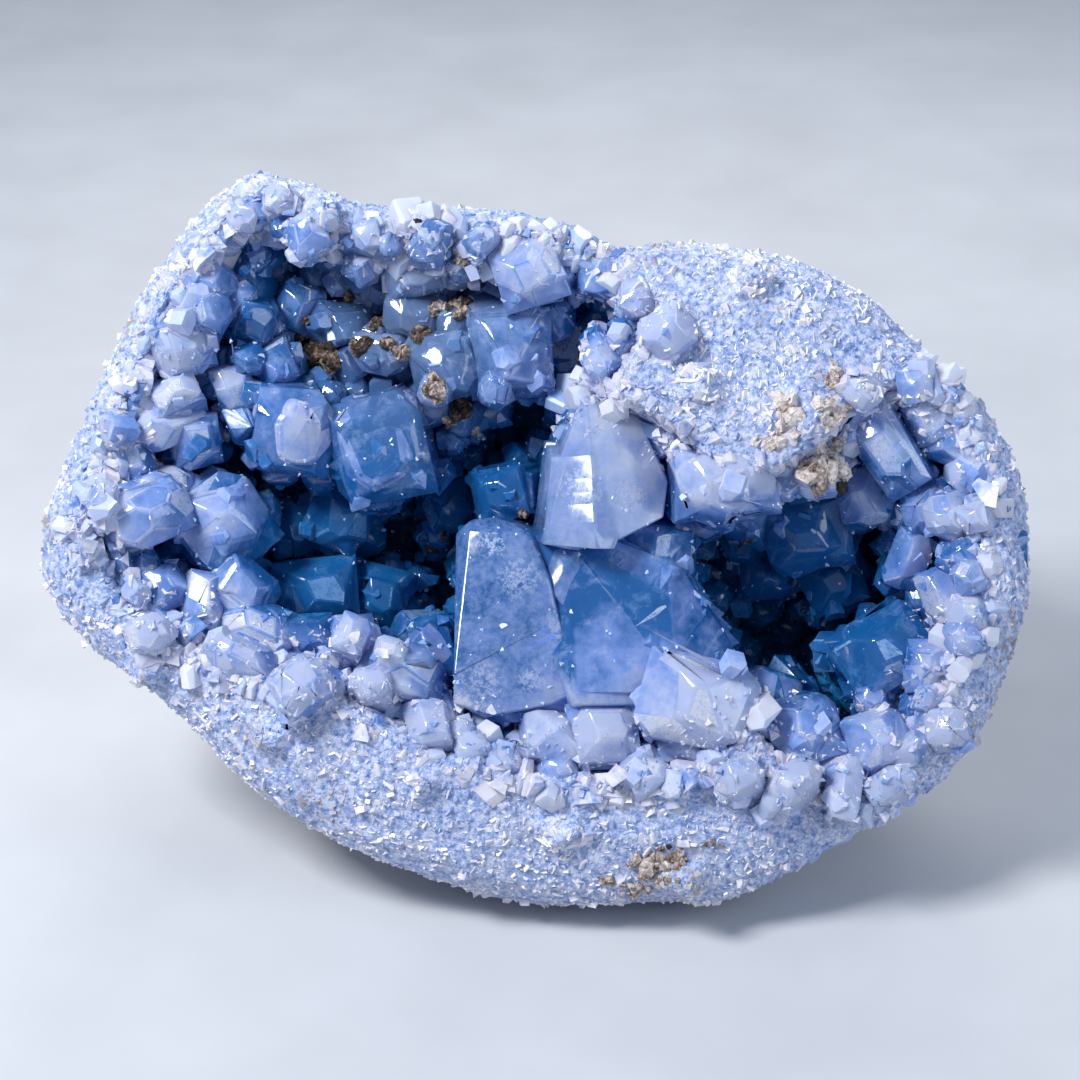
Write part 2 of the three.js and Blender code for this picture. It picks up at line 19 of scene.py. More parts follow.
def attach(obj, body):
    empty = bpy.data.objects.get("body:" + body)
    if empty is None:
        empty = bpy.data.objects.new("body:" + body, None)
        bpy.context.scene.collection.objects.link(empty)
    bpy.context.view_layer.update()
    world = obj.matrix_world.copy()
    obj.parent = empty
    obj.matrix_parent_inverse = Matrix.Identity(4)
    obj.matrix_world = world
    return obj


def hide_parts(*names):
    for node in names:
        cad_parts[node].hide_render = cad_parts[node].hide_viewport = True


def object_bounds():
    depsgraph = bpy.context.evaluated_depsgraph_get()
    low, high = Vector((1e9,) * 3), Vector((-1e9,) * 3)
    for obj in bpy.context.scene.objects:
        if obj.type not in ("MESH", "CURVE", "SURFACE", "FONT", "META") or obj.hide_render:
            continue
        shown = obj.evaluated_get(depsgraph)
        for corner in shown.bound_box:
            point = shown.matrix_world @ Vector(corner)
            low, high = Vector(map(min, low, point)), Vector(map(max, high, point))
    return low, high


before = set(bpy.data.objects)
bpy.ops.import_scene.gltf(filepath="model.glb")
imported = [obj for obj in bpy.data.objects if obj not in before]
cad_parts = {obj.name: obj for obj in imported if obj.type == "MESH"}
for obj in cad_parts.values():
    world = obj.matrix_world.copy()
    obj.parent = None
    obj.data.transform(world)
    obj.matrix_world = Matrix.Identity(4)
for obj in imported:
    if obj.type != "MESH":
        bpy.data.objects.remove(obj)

cad_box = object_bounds()
print("solids:", sorted(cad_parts), "in", cad_box)

# %% [markdown]
# ## The mouth's own frame
# A geode is easiest to describe looking straight into its mouth: so far right, so far up, and so deep. The
# mouth leans back, so one matrix turns those three numbers, in millimetres, into places in the scene. Every
# list of crystals below is written that way, as a collector would note them down with a ruler.

# %% The mouth's frame and chance
MM = 0.001
LEAN = math.radians(30)
MOUTH_AT = Vector((-0.27, -23.50, 77.84)) * MM
MOUTH = Matrix.Translation(MOUTH_AT) @ Matrix.Rotation(-LEAN, 4, "X")
INTO_MOUTH = MOUTH.to_3x3() @ Vector((0, 1, 0))

chance = np.random.default_rng(1874)


def at_mouth(right, up, deep):
    """A point of the scene from millimetres right, up and deep in the mouth."""
    return MOUTH @ (Vector((right, deep, up)) * MM)


def mouth_view(points):
    """The reverse, for an array of points: columns right, deep and up, in millimetres."""
    turned = (np.asarray(points) - np.array(MOUTH_AT)) @ np.array(MOUTH.to_3x3())
    return turned / MM


print("mouth centre", MOUTH_AT, "looks along", -INTO_MOUTH)

# %% [markdown]
# ## Working in edit mode from a script
# An operator acts on whatever is selected, as it does by hand, so each step first deselects everything and
# then picks one piece. The `editing` block enters edit mode with all of that piece selected and leaves it
# again at its end, so the steps inside it read like the clicks that a modeller would make.


# %% Helpers for edit mode
def pick(piece):
    bpy.ops.object.select_all(action="DESELECT")
    piece.select_set(True)
    bpy.context.view_layer.objects.active = piece


@contextmanager
def editing(piece):
    pick(piece)
    bpy.ops.object.mode_set(mode="EDIT")
    bpy.ops.mesh.select_all(action="SELECT")
    yield
    bpy.ops.object.mode_set(mode="OBJECT")


def new_cube(name, size):
    bpy.ops.object.select_all(action="DESELECT")
    bpy.ops.mesh.primitive_cube_add(size=size)
    bpy.context.object.name = name
    return bpy.context.object


def apply_modifier(piece, kind, **settings):
    pick(piece)
    modifier = piece.modifiers.new(kind.title(), kind)
    for name, value in settings.items():
        setattr(modifier, name, value)
    bpy.ops.object.modifier_apply(modifier=modifier.name)


def copy_of_node(node, name):
    """A copy of a CAD node with its loose triangles merged, free to be shaped."""
    piece = bpy.data.objects.new(name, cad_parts[node].data.copy())
    bpy.context.scene.collection.objects.link(piece)
    piece.data.materials.clear()
    with editing(piece):
        bpy.ops.mesh.remove_doubles(threshold=1e-6)
    return piece


def surface_of(piece):
    """A search tree over a piece's faces."""
    corners = [vertex.co.copy() for vertex in piece.data.vertices]
    return BVHTree.FromPolygons(corners, [tuple(face.vertices) for face in piece.data.polygons])


wall_cad = copy_of_node("geode_wall", "wall_guide")
crust_cad = copy_of_node("crystal_crust", "crust_guide")
wall_surface = surface_of(wall_cad)
crust_surface = surface_of(crust_cad)
print("guides:", len(wall_cad.data.polygons), "and", len(crust_cad.data.polygons), "faces")

# %% [markdown]
# ## Camera and light
# The camera looks down at the mouth nearly square on. A long lens keeps the geode's proportions. The light
# is a plain studio one: a soft key from the upper left, a weaker fill from the right, a strip behind that
# catches the rim, and a pale floor.


# %% Camera, lights and floor
def soft_light(name, place, width, height, watts, colour=(1, 1, 1)):
    """A rectangle of light that faces the geode."""
    bpy.ops.object.light_add(type="AREA", location=place)
    light = bpy.context.object
    light.name = name
    light.data.shape = "RECTANGLE"
    light.data.size = width
    light.data.size_y = height
    light.data.energy = watts
    light.data.color = colour
    light.rotation_euler = (GEODE_MIDDLE - Vector(place)).to_track_quat("-Z", "Y").to_euler()


GEODE_MIDDLE = Vector((0, 0, 0.07))
VIEW_TARGET = at_mouth(1.1, 0.2, 0)
VIEW_HEIGHT = math.radians(29)
VIEW_DISTANCE = 0.553
LENS_MM = 85
SKY = (0.54, 0.65, 0.86)

bpy.ops.object.camera_add()
camera = bpy.context.object
camera.name = "studio_camera"
camera.data.lens = LENS_MM
camera.data.clip_start = 0.01
towards_camera = Vector((0, -math.cos(VIEW_HEIGHT), math.sin(VIEW_HEIGHT)))
camera.location = VIEW_TARGET + towards_camera * VIEW_DISTANCE
camera.rotation_euler = (-towards_camera).to_track_quat("-Z", "Y").to_euler()
bpy.context.scene.camera = camera

soft_light("key_light", (-0.40, -0.26, 0.64), 0.2, 0.2, 6.8, (0.96, 0.975, 1))
soft_light("fill_light", (0.55, -0.30, 0.34), 0.36, 0.36, 1.3, (0.8, 0.9, 1))
soft_light("rim_light", (0.1, 0.5, 0.5), 0.6, 0.2, 2.0)

bpy.ops.mesh.primitive_plane_add(size=6)
floor = bpy.context.object
floor.name = "studio_floor"

world = bpy.data.worlds.new("studio")
world.use_nodes = True
backdrop = world.node_tree.nodes["Background"]
backdrop.inputs["Color"].default_value = (*SKY, 1)
backdrop.inputs["Strength"].default_value = 0.5
bpy.context.scene.world = world
bpy.context.scene.view_settings.view_transform = "Standard"
print("camera at", camera.location)

# %% [markdown]
# ## Material helpers
# Each finish is one Principled shader. Colour, roughness and bump come from nodes that read Object
# coordinates, so a pattern lies where it should in the geode. What is the same all over, such as
# transmission and IOR, is set on the shader's own socket. Every helper adds a node and gives back its
# output, for the next to use.


# %% Node helpers
class Finish:
    """One Principled material. A value for a socket is a number, a colour of three numbers, or an output."""

    def __init__(self, name, **sockets):
        self.material = bpy.data.materials.new(name)
        self.material.use_nodes = True
        self.nodes = self.material.node_tree.nodes
        self.place = self.add("TexCoord", {}).outputs["Object"]
        self.set(**sockets)

    def feed(self, socket, value):
        if isinstance(value, bpy.types.NodeSocket):
            self.material.node_tree.links.new(value, socket)
        else:
            socket.default_value = (*value, 1) if socket.type == "RGBA" else value

    def add(self, kind, inputs, **settings):
        node = self.nodes.new("ShaderNode" + kind)
        for name, value in settings.items():
            setattr(node, name, value)
        for name, value in inputs.items():
            self.feed(node.inputs[name], value)
        return node

    def set(self, **sockets):
        for name, value in sockets.items():
            self.feed(self.nodes["Principled BSDF"].inputs[name.replace("_", " ")], value)

    def absorb(self, colour, density):
        node = self.add("VolumeAbsorption", {"Color": colour, "Density": density})
        self.feed(self.nodes["Material Output"].inputs["Volume"], node.outputs["Volume"])

    def noise(self, size_mm, detail=3, roughness=0.55, distortion=0.0):
        inputs = {"Vector": self.place, "Scale": 1 / (size_mm * MM), "Detail": detail, "Roughness": roughness}
        return self.add("TexNoise", {**inputs, "Distortion": distortion}).outputs["Fac"]

    def stripes(self, source, per_unit, detail):
        """Noise along one number only."""
        inputs = {"W": source, "Scale": per_unit, "Detail": detail, "Roughness": 0.6}
        return self.add("TexNoise", inputs, noise_dimensions="1D").outputs["Fac"]

    def attribute(self, name):
        return self.add("Attribute", {}, attribute_name=name).outputs["Fac"]

    def ramp(self, source, stops):
        node = self.add("ValToRGB", {"Fac": source})
        elements = node.color_ramp.elements
        while len(elements) < len(stops):
            elements.new(0.5)
        for element, (position, colour) in zip(elements, stops):
            element.position = position
            element.color = (*colour, 1)
        return node.outputs["Color"]

    def range(self, source, low, high, to_low=0.0, to_high=1.0):
        inputs = {"Value": source, "From Min": low, "From Max": high, "To Min": to_low, "To Max": to_high}
        return self.add("MapRange", inputs).outputs["Result"]

    def math(self, kind, first, second):
        return self.add("Math", {0: first, 1: second}, operation=kind).outputs["Value"]

    def plus(self, *terms):
        return reduce(lambda first, second: self.math("ADD", first, second), terms)

    def times(self, first, second):
        return self.math("MULTIPLY", first, second)

    def most(self, *terms):
        return reduce(lambda first, second: self.math("MAXIMUM", first, second), terms)

    def mix(self, amount, first, second):
        return self.add("Mix", {0: amount, 6: first, 7: second}, data_type="RGBA").outputs[2]

    def vector(self, kind, first, second, output="Value"):
        return self.add("VectorMath", {0: first, 1: second}, operation=kind).outputs[output]

    def near(self, centre, radius_mm):
        """1 at a point of the mouth, given as (right, up, deep), and 0 from the radius on."""
        return self.range(self.vector("DISTANCE", self.place, at_mouth(*centre)), 0, radius_mm * MM, 1, 0)

    def depth(self, low_mm, high_mm):
        """0 to 1 between two depths behind the mouth's plane."""
        start = MOUTH_AT.dot(INTO_MOUTH)
        inwards = self.vector("DOT_PRODUCT", self.place, INTO_MOUTH)
        return self.range(inwards, start + low_mm * MM, start + high_mm * MM)

    def along(self, centre, direction):
        """Metres from a point of the mouth along a direction of the mouth, both as (right, up, deep)."""
        right, up, deep = direction
        offset = self.vector("SUBTRACT", self.place, at_mouth(*centre), "Vector")
        return self.vector("DOT_PRODUCT", offset, MOUTH.to_3x3() @ Vector((right, deep, up)))

    def bump(self, height, depth_mm, strength):
        inputs = {"Height": height, "Distance": depth_mm * MM, "Strength": strength}
        return self.add("Bump", inputs).outputs["Normal"]


CELESTITE_IOR = 1.62

paper = Finish("pale_floor", Roughness=0.8)
paper.set(Base_Color=paper.ramp(paper.noise(60), [(0.3, (0.5, 0.51, 0.53)), (0.7, (0.56, 0.57, 0.59))]))
floor.data.materials.append(paper.material)

# %% [markdown]
# ## Blue celestite
# The crystals are clear to cloudy. Part of the light passes through them, tinted by absorption, and the
# rest is scattered back by tiny veils. Their colour is pale near the mouth. Deeper in the hollow and
# down towards each crystal's root it is darkened to a strong blue and then navy: painted shade of the
# hollow. Close to the host rock they are greyer.


# %% Blue celestite finishes
CRYSTAL_BLUE = (0.16, 0.52, 0.95)
SHADOW_GREY = (0.3, 0.35, 0.46)
# Darker down each crystal towards its root, between its neighbours: painted shade.
ROOT_PAINTED_SHADE = 0.22
RIM_PALER = 0.17
SPOT_DARKER = 0.35
FROSTED = [
    ((-3.3, -8, -3), 8), ((-11.5, -30, -3), 8), ((22, -15, -2), 11), ((6, -18, -3), 6), ((28, -37.5, -4), 9),
    ((10, 11, -6), 9), ((21, 10, -6), 7), ((-14, -36, -3), 9), ((-1, -30, -3), 5), ((-9, -1, -3), 5),
]
ROCK_SHADOW = ((-27, 48, 10), 34)
DEEPER_BLUE = [
    ((41, 8, -4), 16), ((-33, 19, 8), 14), ((78, -22, 8), 14), ((-52, -9, 14), 20), ((-66, 0, 8), 13),
]
FAN_ROOT = (12, -14, -2)
FAN_RAYS = ((34, -18, -2), 22)
PYRAMID_FACE = (9, 11, -6)
# The ramps below run along the level, from pale at the mouth to navy deep in the hollow: their dark stops are
# painted shade.
VEIL_BLUES = [
    (0.0, (0.86, 0.87, 1)), (0.3, (0.58, 0.7, 1)), (0.6, (0.2, 0.45, 0.82)), (1.0, (0.08, 0.3, 0.62)),
]
BLUES = [
    (0.0, (0.62, 0.7, 1)), (0.18, (0.28, 0.44, 0.9)), (0.4, (0.026, 0.17, 0.5)),
    (0.6, (0.01, 0.14, 0.42)), (0.8, (0.012, 0.16, 0.44)), (1.0, (0.016, 0.18, 0.46)),
]
PALE_BLUES = [
    (0.0, (0.76, 0.79, 0.97)), (0.2, (0.58, 0.66, 0.96)), (0.45, (0.34, 0.48, 0.88)), (0.8, (0.12, 0.3, 0.7)),
]


def celestite(name, stops, see_through, cloudy, density, roughness, veil, mixed=0.14, plates=False):
    """One see-through blue finish. Its stops run from the mouth down into the hollow and darken as painted
    shade, roughness is that of a clear and of a veiled spot, and mixed is how far one crystal's tone may be
    from the next one's."""
    finish = Finish(name, Transmission_Weight=see_through, IOR=CELESTITE_IOR, Specular_IOR_Level=0.45,
                    Subsurface_Weight=cloudy, Subsurface_Scale=0.004, Subsurface_Radius=(0.5, 0.8, 1))
    # Depth behind the mouth and depth below each tip darken the colour as painted shade of the hollow.
    # Nearness to the rim makes it paler, and a few listed spots are darker.
    level = finish.plus(finish.depth(-12, 42), finish.times(finish.attribute("below"), ROOT_PAINTED_SHADE),
                        finish.times(finish.attribute("rimward"), -RIM_PALER))
    for centre, radius in DEEPER_BLUE:
        level = finish.plus(level, finish.times(finish.near(centre, radius), SPOT_DARKER))
    if plates:
        angle = finish.math("ARCTAN2", finish.along(FAN_ROOT, (0, 1, 0)), finish.along(FAN_ROOT, (1, 0, 0)))
        rays = finish.range(finish.stripes(angle, 7, 4), 0.3, 0.7, -0.6, 0.6)
        level = finish.plus(level, finish.times(rays, finish.near(*FAN_RAYS)))
    wander = finish.range(finish.noise(6, 3, 0.65), 0.32, 0.68, -0.1, 0.1)
    own = finish.plus(finish.range(finish.attribute("tone"), 0, 1, -mixed, mixed), wander)
    level = finish.plus(level, own)
    colour = finish.ramp(level, stops)
    colour = finish.mix(finish.times(finish.near(*ROCK_SHADOW), 0.6), colour, SHADOW_GREY)

    grainy = finish.range(finish.noise(1.2, 3, 0.8), 0.42, 0.58)
    veils = finish.range(finish.noise(4.5, 5, 0.76, 0.6), 0.52, 0.72, 0, veil)
    if plates:
        lines = finish.range(finish.stripes(finish.along(PYRAMID_FACE, (1, -0.25, 0)), 900, 2), 0.48, 0.62)
        veils = finish.most(veils, finish.times(grainy, 0.3),
                            finish.times(lines, finish.near(PYRAMID_FACE, 12)))
        for centre, radius in FROSTED:
            patch = finish.times(finish.near(centre, radius), 1.3)
            veils = finish.most(veils, finish.times(patch, grainy))
    frosted = finish.times(finish.attribute("frost_and_highlight"), finish.range(grainy, 0, 1, 0.6, 1))
    veils = finish.most(veils, frosted)
    colour = finish.mix(finish.range(veils, 0, 1, 0, 0.95), colour, finish.ramp(level, VEIL_BLUES))
    finish.set(Base_Color=colour, Roughness=finish.range(veils, 0, 1, *roughness),
               Normal=finish.bump(finish.noise(2.8, 1, 0.6), 0.14, 0.5))
    if density:
        finish.absorb(CRYSTAL_BLUE, density)
    return finish.material


sky_glass = celestite("sky_celestite", BLUES, 0.42, 0.4, 50, (0.07, 0.4), 0.6, mixed=0.2)
plate_glass = celestite("plate_celestite", BLUES, 0.5, 0.5, 50, (0.1, 0.4), 0.5, plates=True)
druse_glass = celestite("druse_celestite", BLUES, 0.3, 0.2, 0, (0.07, 0.4), 0.6, mixed=0.2)
pale_glass = celestite("pale_celestite", PALE_BLUES, 0.2, 0.5, 0, (0.08, 0.45), 0.7, mixed=0.3)
print("finishes:", [material.name for material in bpy.data.materials])

# %% [markdown]
# ## How one crystal is cut
# A crystal is what is left of a block when its faces are cut, so it is modelled that way: a cube is added,
# then bisected by one plane for each face, and its edges are bevelled a little, as natural edges are never
# knife sharp. A habit is a list of faces, each written as across, along, out and distance, in half-sizes of
# the crystal.

# %% Cutting a crystal
SIDES = [(1, 0, 0, 1), (-1, 0, 0, 1), (0, 1, 0, 1), (0, -1, 0, 1)]
DOMES = [(0.66, 0.1, 0.75, 0.84), (-0.6, -0.1, 0.8, 0.84), (0.1, 0.62, 0.79, 0.84), (-0.1, -0.68, 0.73, 0.88)]
CORNERS = [(0.7, 0.7, 0.05, 1.12), (-0.7, -0.7, 0.05, 1.12), (0.72, -0.68, 0.05, 1.14),
           (-0.68, 0.72, 0.05, 1.14)]
HABITS = {
    "block": [*SIDES, *CORNERS[:3], *DOMES, (0.12, 0.05, 1, 0.8)],
    "stubby": [*SIDES, *CORNERS, *DOMES, (0.05, -0.1, 1, 0.86)],
    "chisel": [*SIDES, *CORNERS[:2], (0.5, 0.1, 0.86, 0.74), (-0.56, 0, 0.83, 0.74), (0, 0.8, 0.6, 0.96),
               (0, -0.8, 0.6, 0.96)],
    "pyramid": [*SIDES, *CORNERS[1:3], (0.62, 0.3, 0.72, 0.7), (-0.66, 0.2, 0.72, 0.7), (0.1, 0.7, 0.7, 0.74),
                (0, -0.66, 0.75, 0.72)],
    "gem": [*SIDES, *CORNERS, *DOMES, (0.08, 0.05, 1, 0.66), (0.5, 0.5, 0.7, 0.88), (-0.5, -0.5, 0.7, 0.88),
            (0.5, -0.5, 0.7, 0.9)],
}
WORN = {"gem": 0.045, "stubby": 0.035, "block": 0.03, "chisel": 0.024, "pyramid": 0.028}
UNCUT = 4


def cut(planes):
    """Bisects all that is being edited by planes of (normal, distance), keeping what lies behind each."""
    for normal, distance in planes:
        normal = Vector(normal).normalized()
        bpy.ops.mesh.select_all(action="SELECT")
        bpy.ops.mesh.bisect(plane_co=normal * distance, plane_no=normal, use_fill=True, clear_outer=True)
    bpy.ops.mesh.select_all(action="SELECT")


def cut_crystal(name, habit, size_mm, root_mm, edge_rows=1, vary=0.1, facets=4):
    """One crystal, its tip near the origin and growing along +Z, root_mm long below it. Its worn edges are
    rounded by rows of faces, and facets is how many small extra faces nature gave it."""
    wide, tall = size_mm
    out = math.sqrt(wide * tall) / 2
    planes = []
    for x, y, z, distance in HABITS[habit]:
        aside, along, out_by = chance.uniform(-vary, vary, 3)
        normal = (x + aside, y + along, z + out_by * 0.7)
        planes.append((normal, distance * chance.uniform(0.9, 1.05)))
    for number in range(facets):
        side = chance.uniform(0, 2 * math.pi)
        rise = chance.uniform(0.25, 1.2)
        planes.append(((math.cos(side), math.sin(side), rise), chance.uniform(0.8, 1.0)))
    crystal = new_cube(name, UNCUT)
    length = root_mm / out + UNCUT / 2
    with editing(crystal):
        bpy.ops.transform.resize(value=(1, 1, length / UNCUT), center_override=(0, 0, 0))
        bpy.ops.transform.translate(value=(0, 0, (UNCUT - length) / 2))
        cut(planes)
        bpy.ops.transform.resize(value=(wide / 2 * MM, tall / 2 * MM, out * MM), center_override=(0, 0, 0))
        if edge_rows:
            worn = WORN[habit] * out * 2 * MM
            bpy.ops.mesh.bevel(offset=worn, segments=edge_rows, affect="EDGES")
    return crystal


sample = cut_crystal("sample", "stubby", (20, 22), 30)
print("a crystal has", len(sample.data.polygons), "faces, size", sample.dimensions)
bpy.data.objects.remove(sample)

# %% [markdown]
# ## Rooting and growing
# A crystal stands on the wall of its hollow, so its root reaches back along its axis until it meets that
# wall. The axis points at a spot in front of the hollow's middle, because crystals grow towards open space.
# Larger crystals carry one or more smaller ones that grow parallel to them, a common habit of celestite.

# %% Growing crystals from a list
FOCUS_DEEP = -78
LONGEST_ROOT = 46
LARGE_MM = 12
ROUNDED = ("gem", "stubby", "block")
EXTRA_FACETS = {"gem": 7, "stubby": 5, "block": 4, "chisel": 2, "pyramid": 3}


def growth_from(tip, focus, lean):
    """The direction that a crystal grows in, in the mouth's frame."""
    if lean:
        return Vector((lean[0], -1, lean[1])).normalized()
    return (Vector((focus[0], FOCUS_DEEP, focus[1])) - tip).normalized()


def seat(tip, growth, roll):
    """The matrix that takes a crystal from the origin and +Z to its tip and growth in the mouth."""
    across = (Vector((1, 0, 0)) - growth * growth.x).normalized()
    turn = Matrix((across, growth.cross(across), growth)).transposed().to_4x4()
    return MOUTH @ Matrix.Translation(tip * MM) @ turn @ Matrix.Rotation(math.radians(roll), 4, "Z")


def root_below(tip, growth):
    """Millimetres from a tip back to the wall of the hollow."""
    start = MOUTH @ (tip * MM)
    hit = wall_surface.ray_cast(start, -(MOUTH.to_3x3() @ growth), LONGEST_ROOT * MM)
    return LONGEST_ROOT * 0.5 if hit[3] is None else hit[3] / MM


tips = []


def grow(name, at, deep, size, roll, focus, habit, lean=None, longest_root=LONGEST_ROOT):
    """A crystal and the smaller ones parallel to it, each in its place."""
    tip = Vector((at[0], deep, at[1]))
    growth = growth_from(tip, focus, lean)
    root = min(max(root_below(tip, growth), max(size) * 0.6), longest_root)
    placed = seat(tip, growth, roll)
    edge_rows = 2 if habit in ROUNDED else 1
    crystal = cut_crystal(name, habit, size, root, edge_rows, facets=EXTRA_FACETS[habit])
    crystal.data.transform(placed)
    grown = [crystal]
    tips.append((MOUTH @ (tip * MM), MOUTH.to_3x3() @ growth, max(size) * MM))
    for number in range(3 if min(size) > LARGE_MM else 1):
        side = chance.uniform(0, 2 * math.pi)
        share = chance.uniform(0.34, 0.58)
        away = Vector((math.cos(side) * size[0], math.sin(side) * size[1], 0)) * (0.5 - share * 0.25)
        away.z = -max(size) * chance.uniform(0.08, 0.3)
        small_size = (size[0] * share, size[1] * share)
        small = cut_crystal(f"{name}_side_{number}", habit, small_size, root * 0.7, facets=2)
        nod = Matrix.Rotation(chance.normal(0, 0.1), 4, "X")
        wobble = nod @ Matrix.Rotation(chance.normal(0, 0.1), 4, "Y")
        small.data.transform(placed @ Matrix.Translation(away * MM) @ wobble)
        grown.append(small)
    return grown


def give(piece, name, value, domain="FACE"):
    """Stores one number, or one for each face or corner, on a piece for its material to read."""
    elements = piece.data.polygons if domain == "FACE" else piece.data.vertices
    attribute = piece.data.attributes.new(name, "FLOAT", domain)
    values = np.broadcast_to(np.asarray(value, np.float32), len(elements))
    attribute.data.foreach_set("value", values.copy())


def read(elements, field, kind=np.float32, wide=1):
    """The reverse: a field of each face, corner or other element, as an array."""
    values = np.empty(len(elements) * wide, kind)
    elements.foreach_get(field, values)
    return values if wide == 1 else values.reshape(-1, wide)


def tint_faces(body, tone, frosted=0.07):
    """Each face differs a little from its crystal's tone, and a few are frosted."""
    count = len(body.data.polygons)
    give(body, "tone", tone + chance.uniform(-0.3, 0.3, count))
    give(body, "frost_and_highlight", chance.random(count) < frosted)


def grow_list(name, crystals, focus):
    """Grows every crystal of a list, each with a tone of its own."""
    grown = []
    for number, (at, deep, size, roll, habit, *lean) in enumerate(crystals):
        tone = chance.uniform(0, 1)
        for piece in grow(f"{name}_{number}", at, deep, size, roll, focus, habit, *lean):
            tint_faces(piece, tone)
            grown.append(piece)
    return grown


LEFT_FOCUS = (-40, 4)
MIDDLE_FOCUS = (20, -14)
RIGHT_FOCUS = (58, -8)

# %% [markdown]
# ## The crystals, one by one
# The big crystals give the geode its face, so each has its own line: where its tip is, how deep, how wide
# and tall, how it is turned, and its habit. Some end with a lean, right and up, and the rest point at the
# focus.

# %% Crystals of the left hollow
LEFT_CRYSTALS = [
    ((-69, 65), 2, (9.5, 9), 15, "pyramid"),
    ((-58, 61), 20, (11, 12), 10, "block"),
    ((-53, 52), 15, (10, 11), -30, "chisel"),
    ((-70, 56), 2, (10, 8.5), -50, "stubby"),
    ((-71, 49), -1, (10.5, 10), -35, "stubby"),
    ((-77, 42), 0, (14, 13), 10, "stubby"),
    ((-62, 48), 8, (9.5, 10), -20, "block"),
    ((-78, 32), 0, (11, 8.5), 30, "block", (0.1, 0.35)),
    ((-66, 33), 7, (9, 12), 15, "block"),
    ((-57, 38), 7, (9.5, 9), 25, "pyramid"),
    ((-74, 22), 5, (11, 12), 5, "block"),
    ((-88, 19), 2, (10, 13), 12, "chisel"),
    ((-83, 6), -3, (18, 13.5), 20, "stubby"),
    ((-69, 4), 8, (20, 21), 35, "stubby"),
    ((-53, 24), 5, (17.5, 19.5), -8, "gem"),
    ((-34, 21), 9, (22, 24.5), 12, "gem"),
    ((-44, 6), 22, (14.5, 16), -25, "block"),
    ((-55, 3), 27, (11, 12), 10, "block"),
    ((-20, 23), 24, (9, 9), 0, "pyramid"),
    ((-20, 8), 31, (12, 12), 25, "pyramid"),
    ((-7, 11), 18, (14, 13), 10, "block"),
    ((-27, 59), 5, (14, 12), 20, "pyramid"),
    ((-27, 50), 10, (13, 10.5), -10, "block"),
    ((-42, 47), 14, (11, 10), 0, "pyramid"),
    ((-20, 39), 8, (15, 15), 15, "stubby"),
    ((-1, 58), -1, (15.5, 14.5), 18, "block", (-0.1, -0.15)),
    ((-5, 40), 6, (18, 20), 4, "pyramid", (-0.05, -0.55)),
    ((6, 43), 20, (15, 16), 35, "chisel"),
    ((13, 57), 1, (11, 11), 15, "pyramid"),
    ((-49, -11), 21, (20, 14.5), 8, "block"),
    ((-35, -12), 26, (13, 14.5), -15, "block"),
    ((-65, -11), 7, (16.5, 15), -35, "stubby"),
    ((-72, -13), 2, (8.5, 12.5), -8, "chisel"),
    ((-80, -10), 1, (10, 10), 25, "pyramid"),
    ((-61, -19), 5, (17, 12), -12, "block"),
    ((-51, -21), 8, (14, 10), 5, "block"),
    ((-39, -21), 1, (11, 11), 10, "pyramid"),
    ((-30, -28), -1, (17, 13), -10, "stubby"),
    ((-23, -24), 11, (10, 16), 12, "chisel"),
    ((-22, -38), 2, (10.5, 13), 18, "block"),
]
left_bodies = grow_list("left_crystal", LEFT_CRYSTALS, LEFT_FOCUS)

# %% Crystals of the middle and the right hollow
MIDDLE_CRYSTALS = [
    ((41, 12), -5, (21, 17), 14, "gem", (0.1, -0.35)),
    ((28, 23), 2, (11, 10), 20, "chisel"),
    ((26, -1), 5, (17, 10), -10, "chisel"),
    ((35, -35), -5, (25, 20), -12, "stubby", (0, 0.1)),
    ((15, -41), -2, (15, 14), 10, "block"),
    ((4, -42), -3, (12, 12), 0, "pyramid"),
]
RIGHT_CRYSTALS = [
    ((77, 20), 2, (12, 22), 35, "block"),
    ((73, 10), 12, (13, 14), 20, "block"),
    ((85, 27), 0, (9.5, 12), 25, "chisel"),
    ((90, 21), 1, (11, 10), -15, "pyramid"),
    ((86, 7), 5, (11, 11), 15, "stubby"),
    ((61, 2), 18, (19.5, 18), 12, "stubby"),
    ((48, 6), 18, (13, 13), -25, "block"),
    ((82, -4), 9, (9, 14), -20, "chisel"),
    ((53, -8), 30, (12, 10), 0, "pyramid"),
    ((68, -9), 26, (14, 13), 25, "block"),
    ((58, -41), 2, (16.5, 16), 15, "stubby"),
    ((53, -33), 17, (13, 9), -15, "chisel"),
    ((77, -24), 9, (21, 18), 32, "stubby"),
    ((74, -43), 0, (14, 13.5), 20, "stubby"),
    ((86, -27), 1, (12, 12), 0, "block"),
    ((89, -11), 3, (10, 12), 20, "chisel"),
    ((65, -50), 2, (10, 12), -20, "chisel"),
]
middle_bodies = grow_list("middle_crystal", MIDDLE_CRYSTALS, MIDDLE_FOCUS)
right_bodies = grow_list("right_crystal", RIGHT_CRYSTALS, RIGHT_FOCUS)

# %% [markdown]
# ## The three plates on the ridge
# A tall slab, a broad fan and a stepped pyramid stand between the two hollows. Their sides follow outlines
# of their own, so they are cut by one plane for each stretch of outline, and then by the faces of their
# tips.

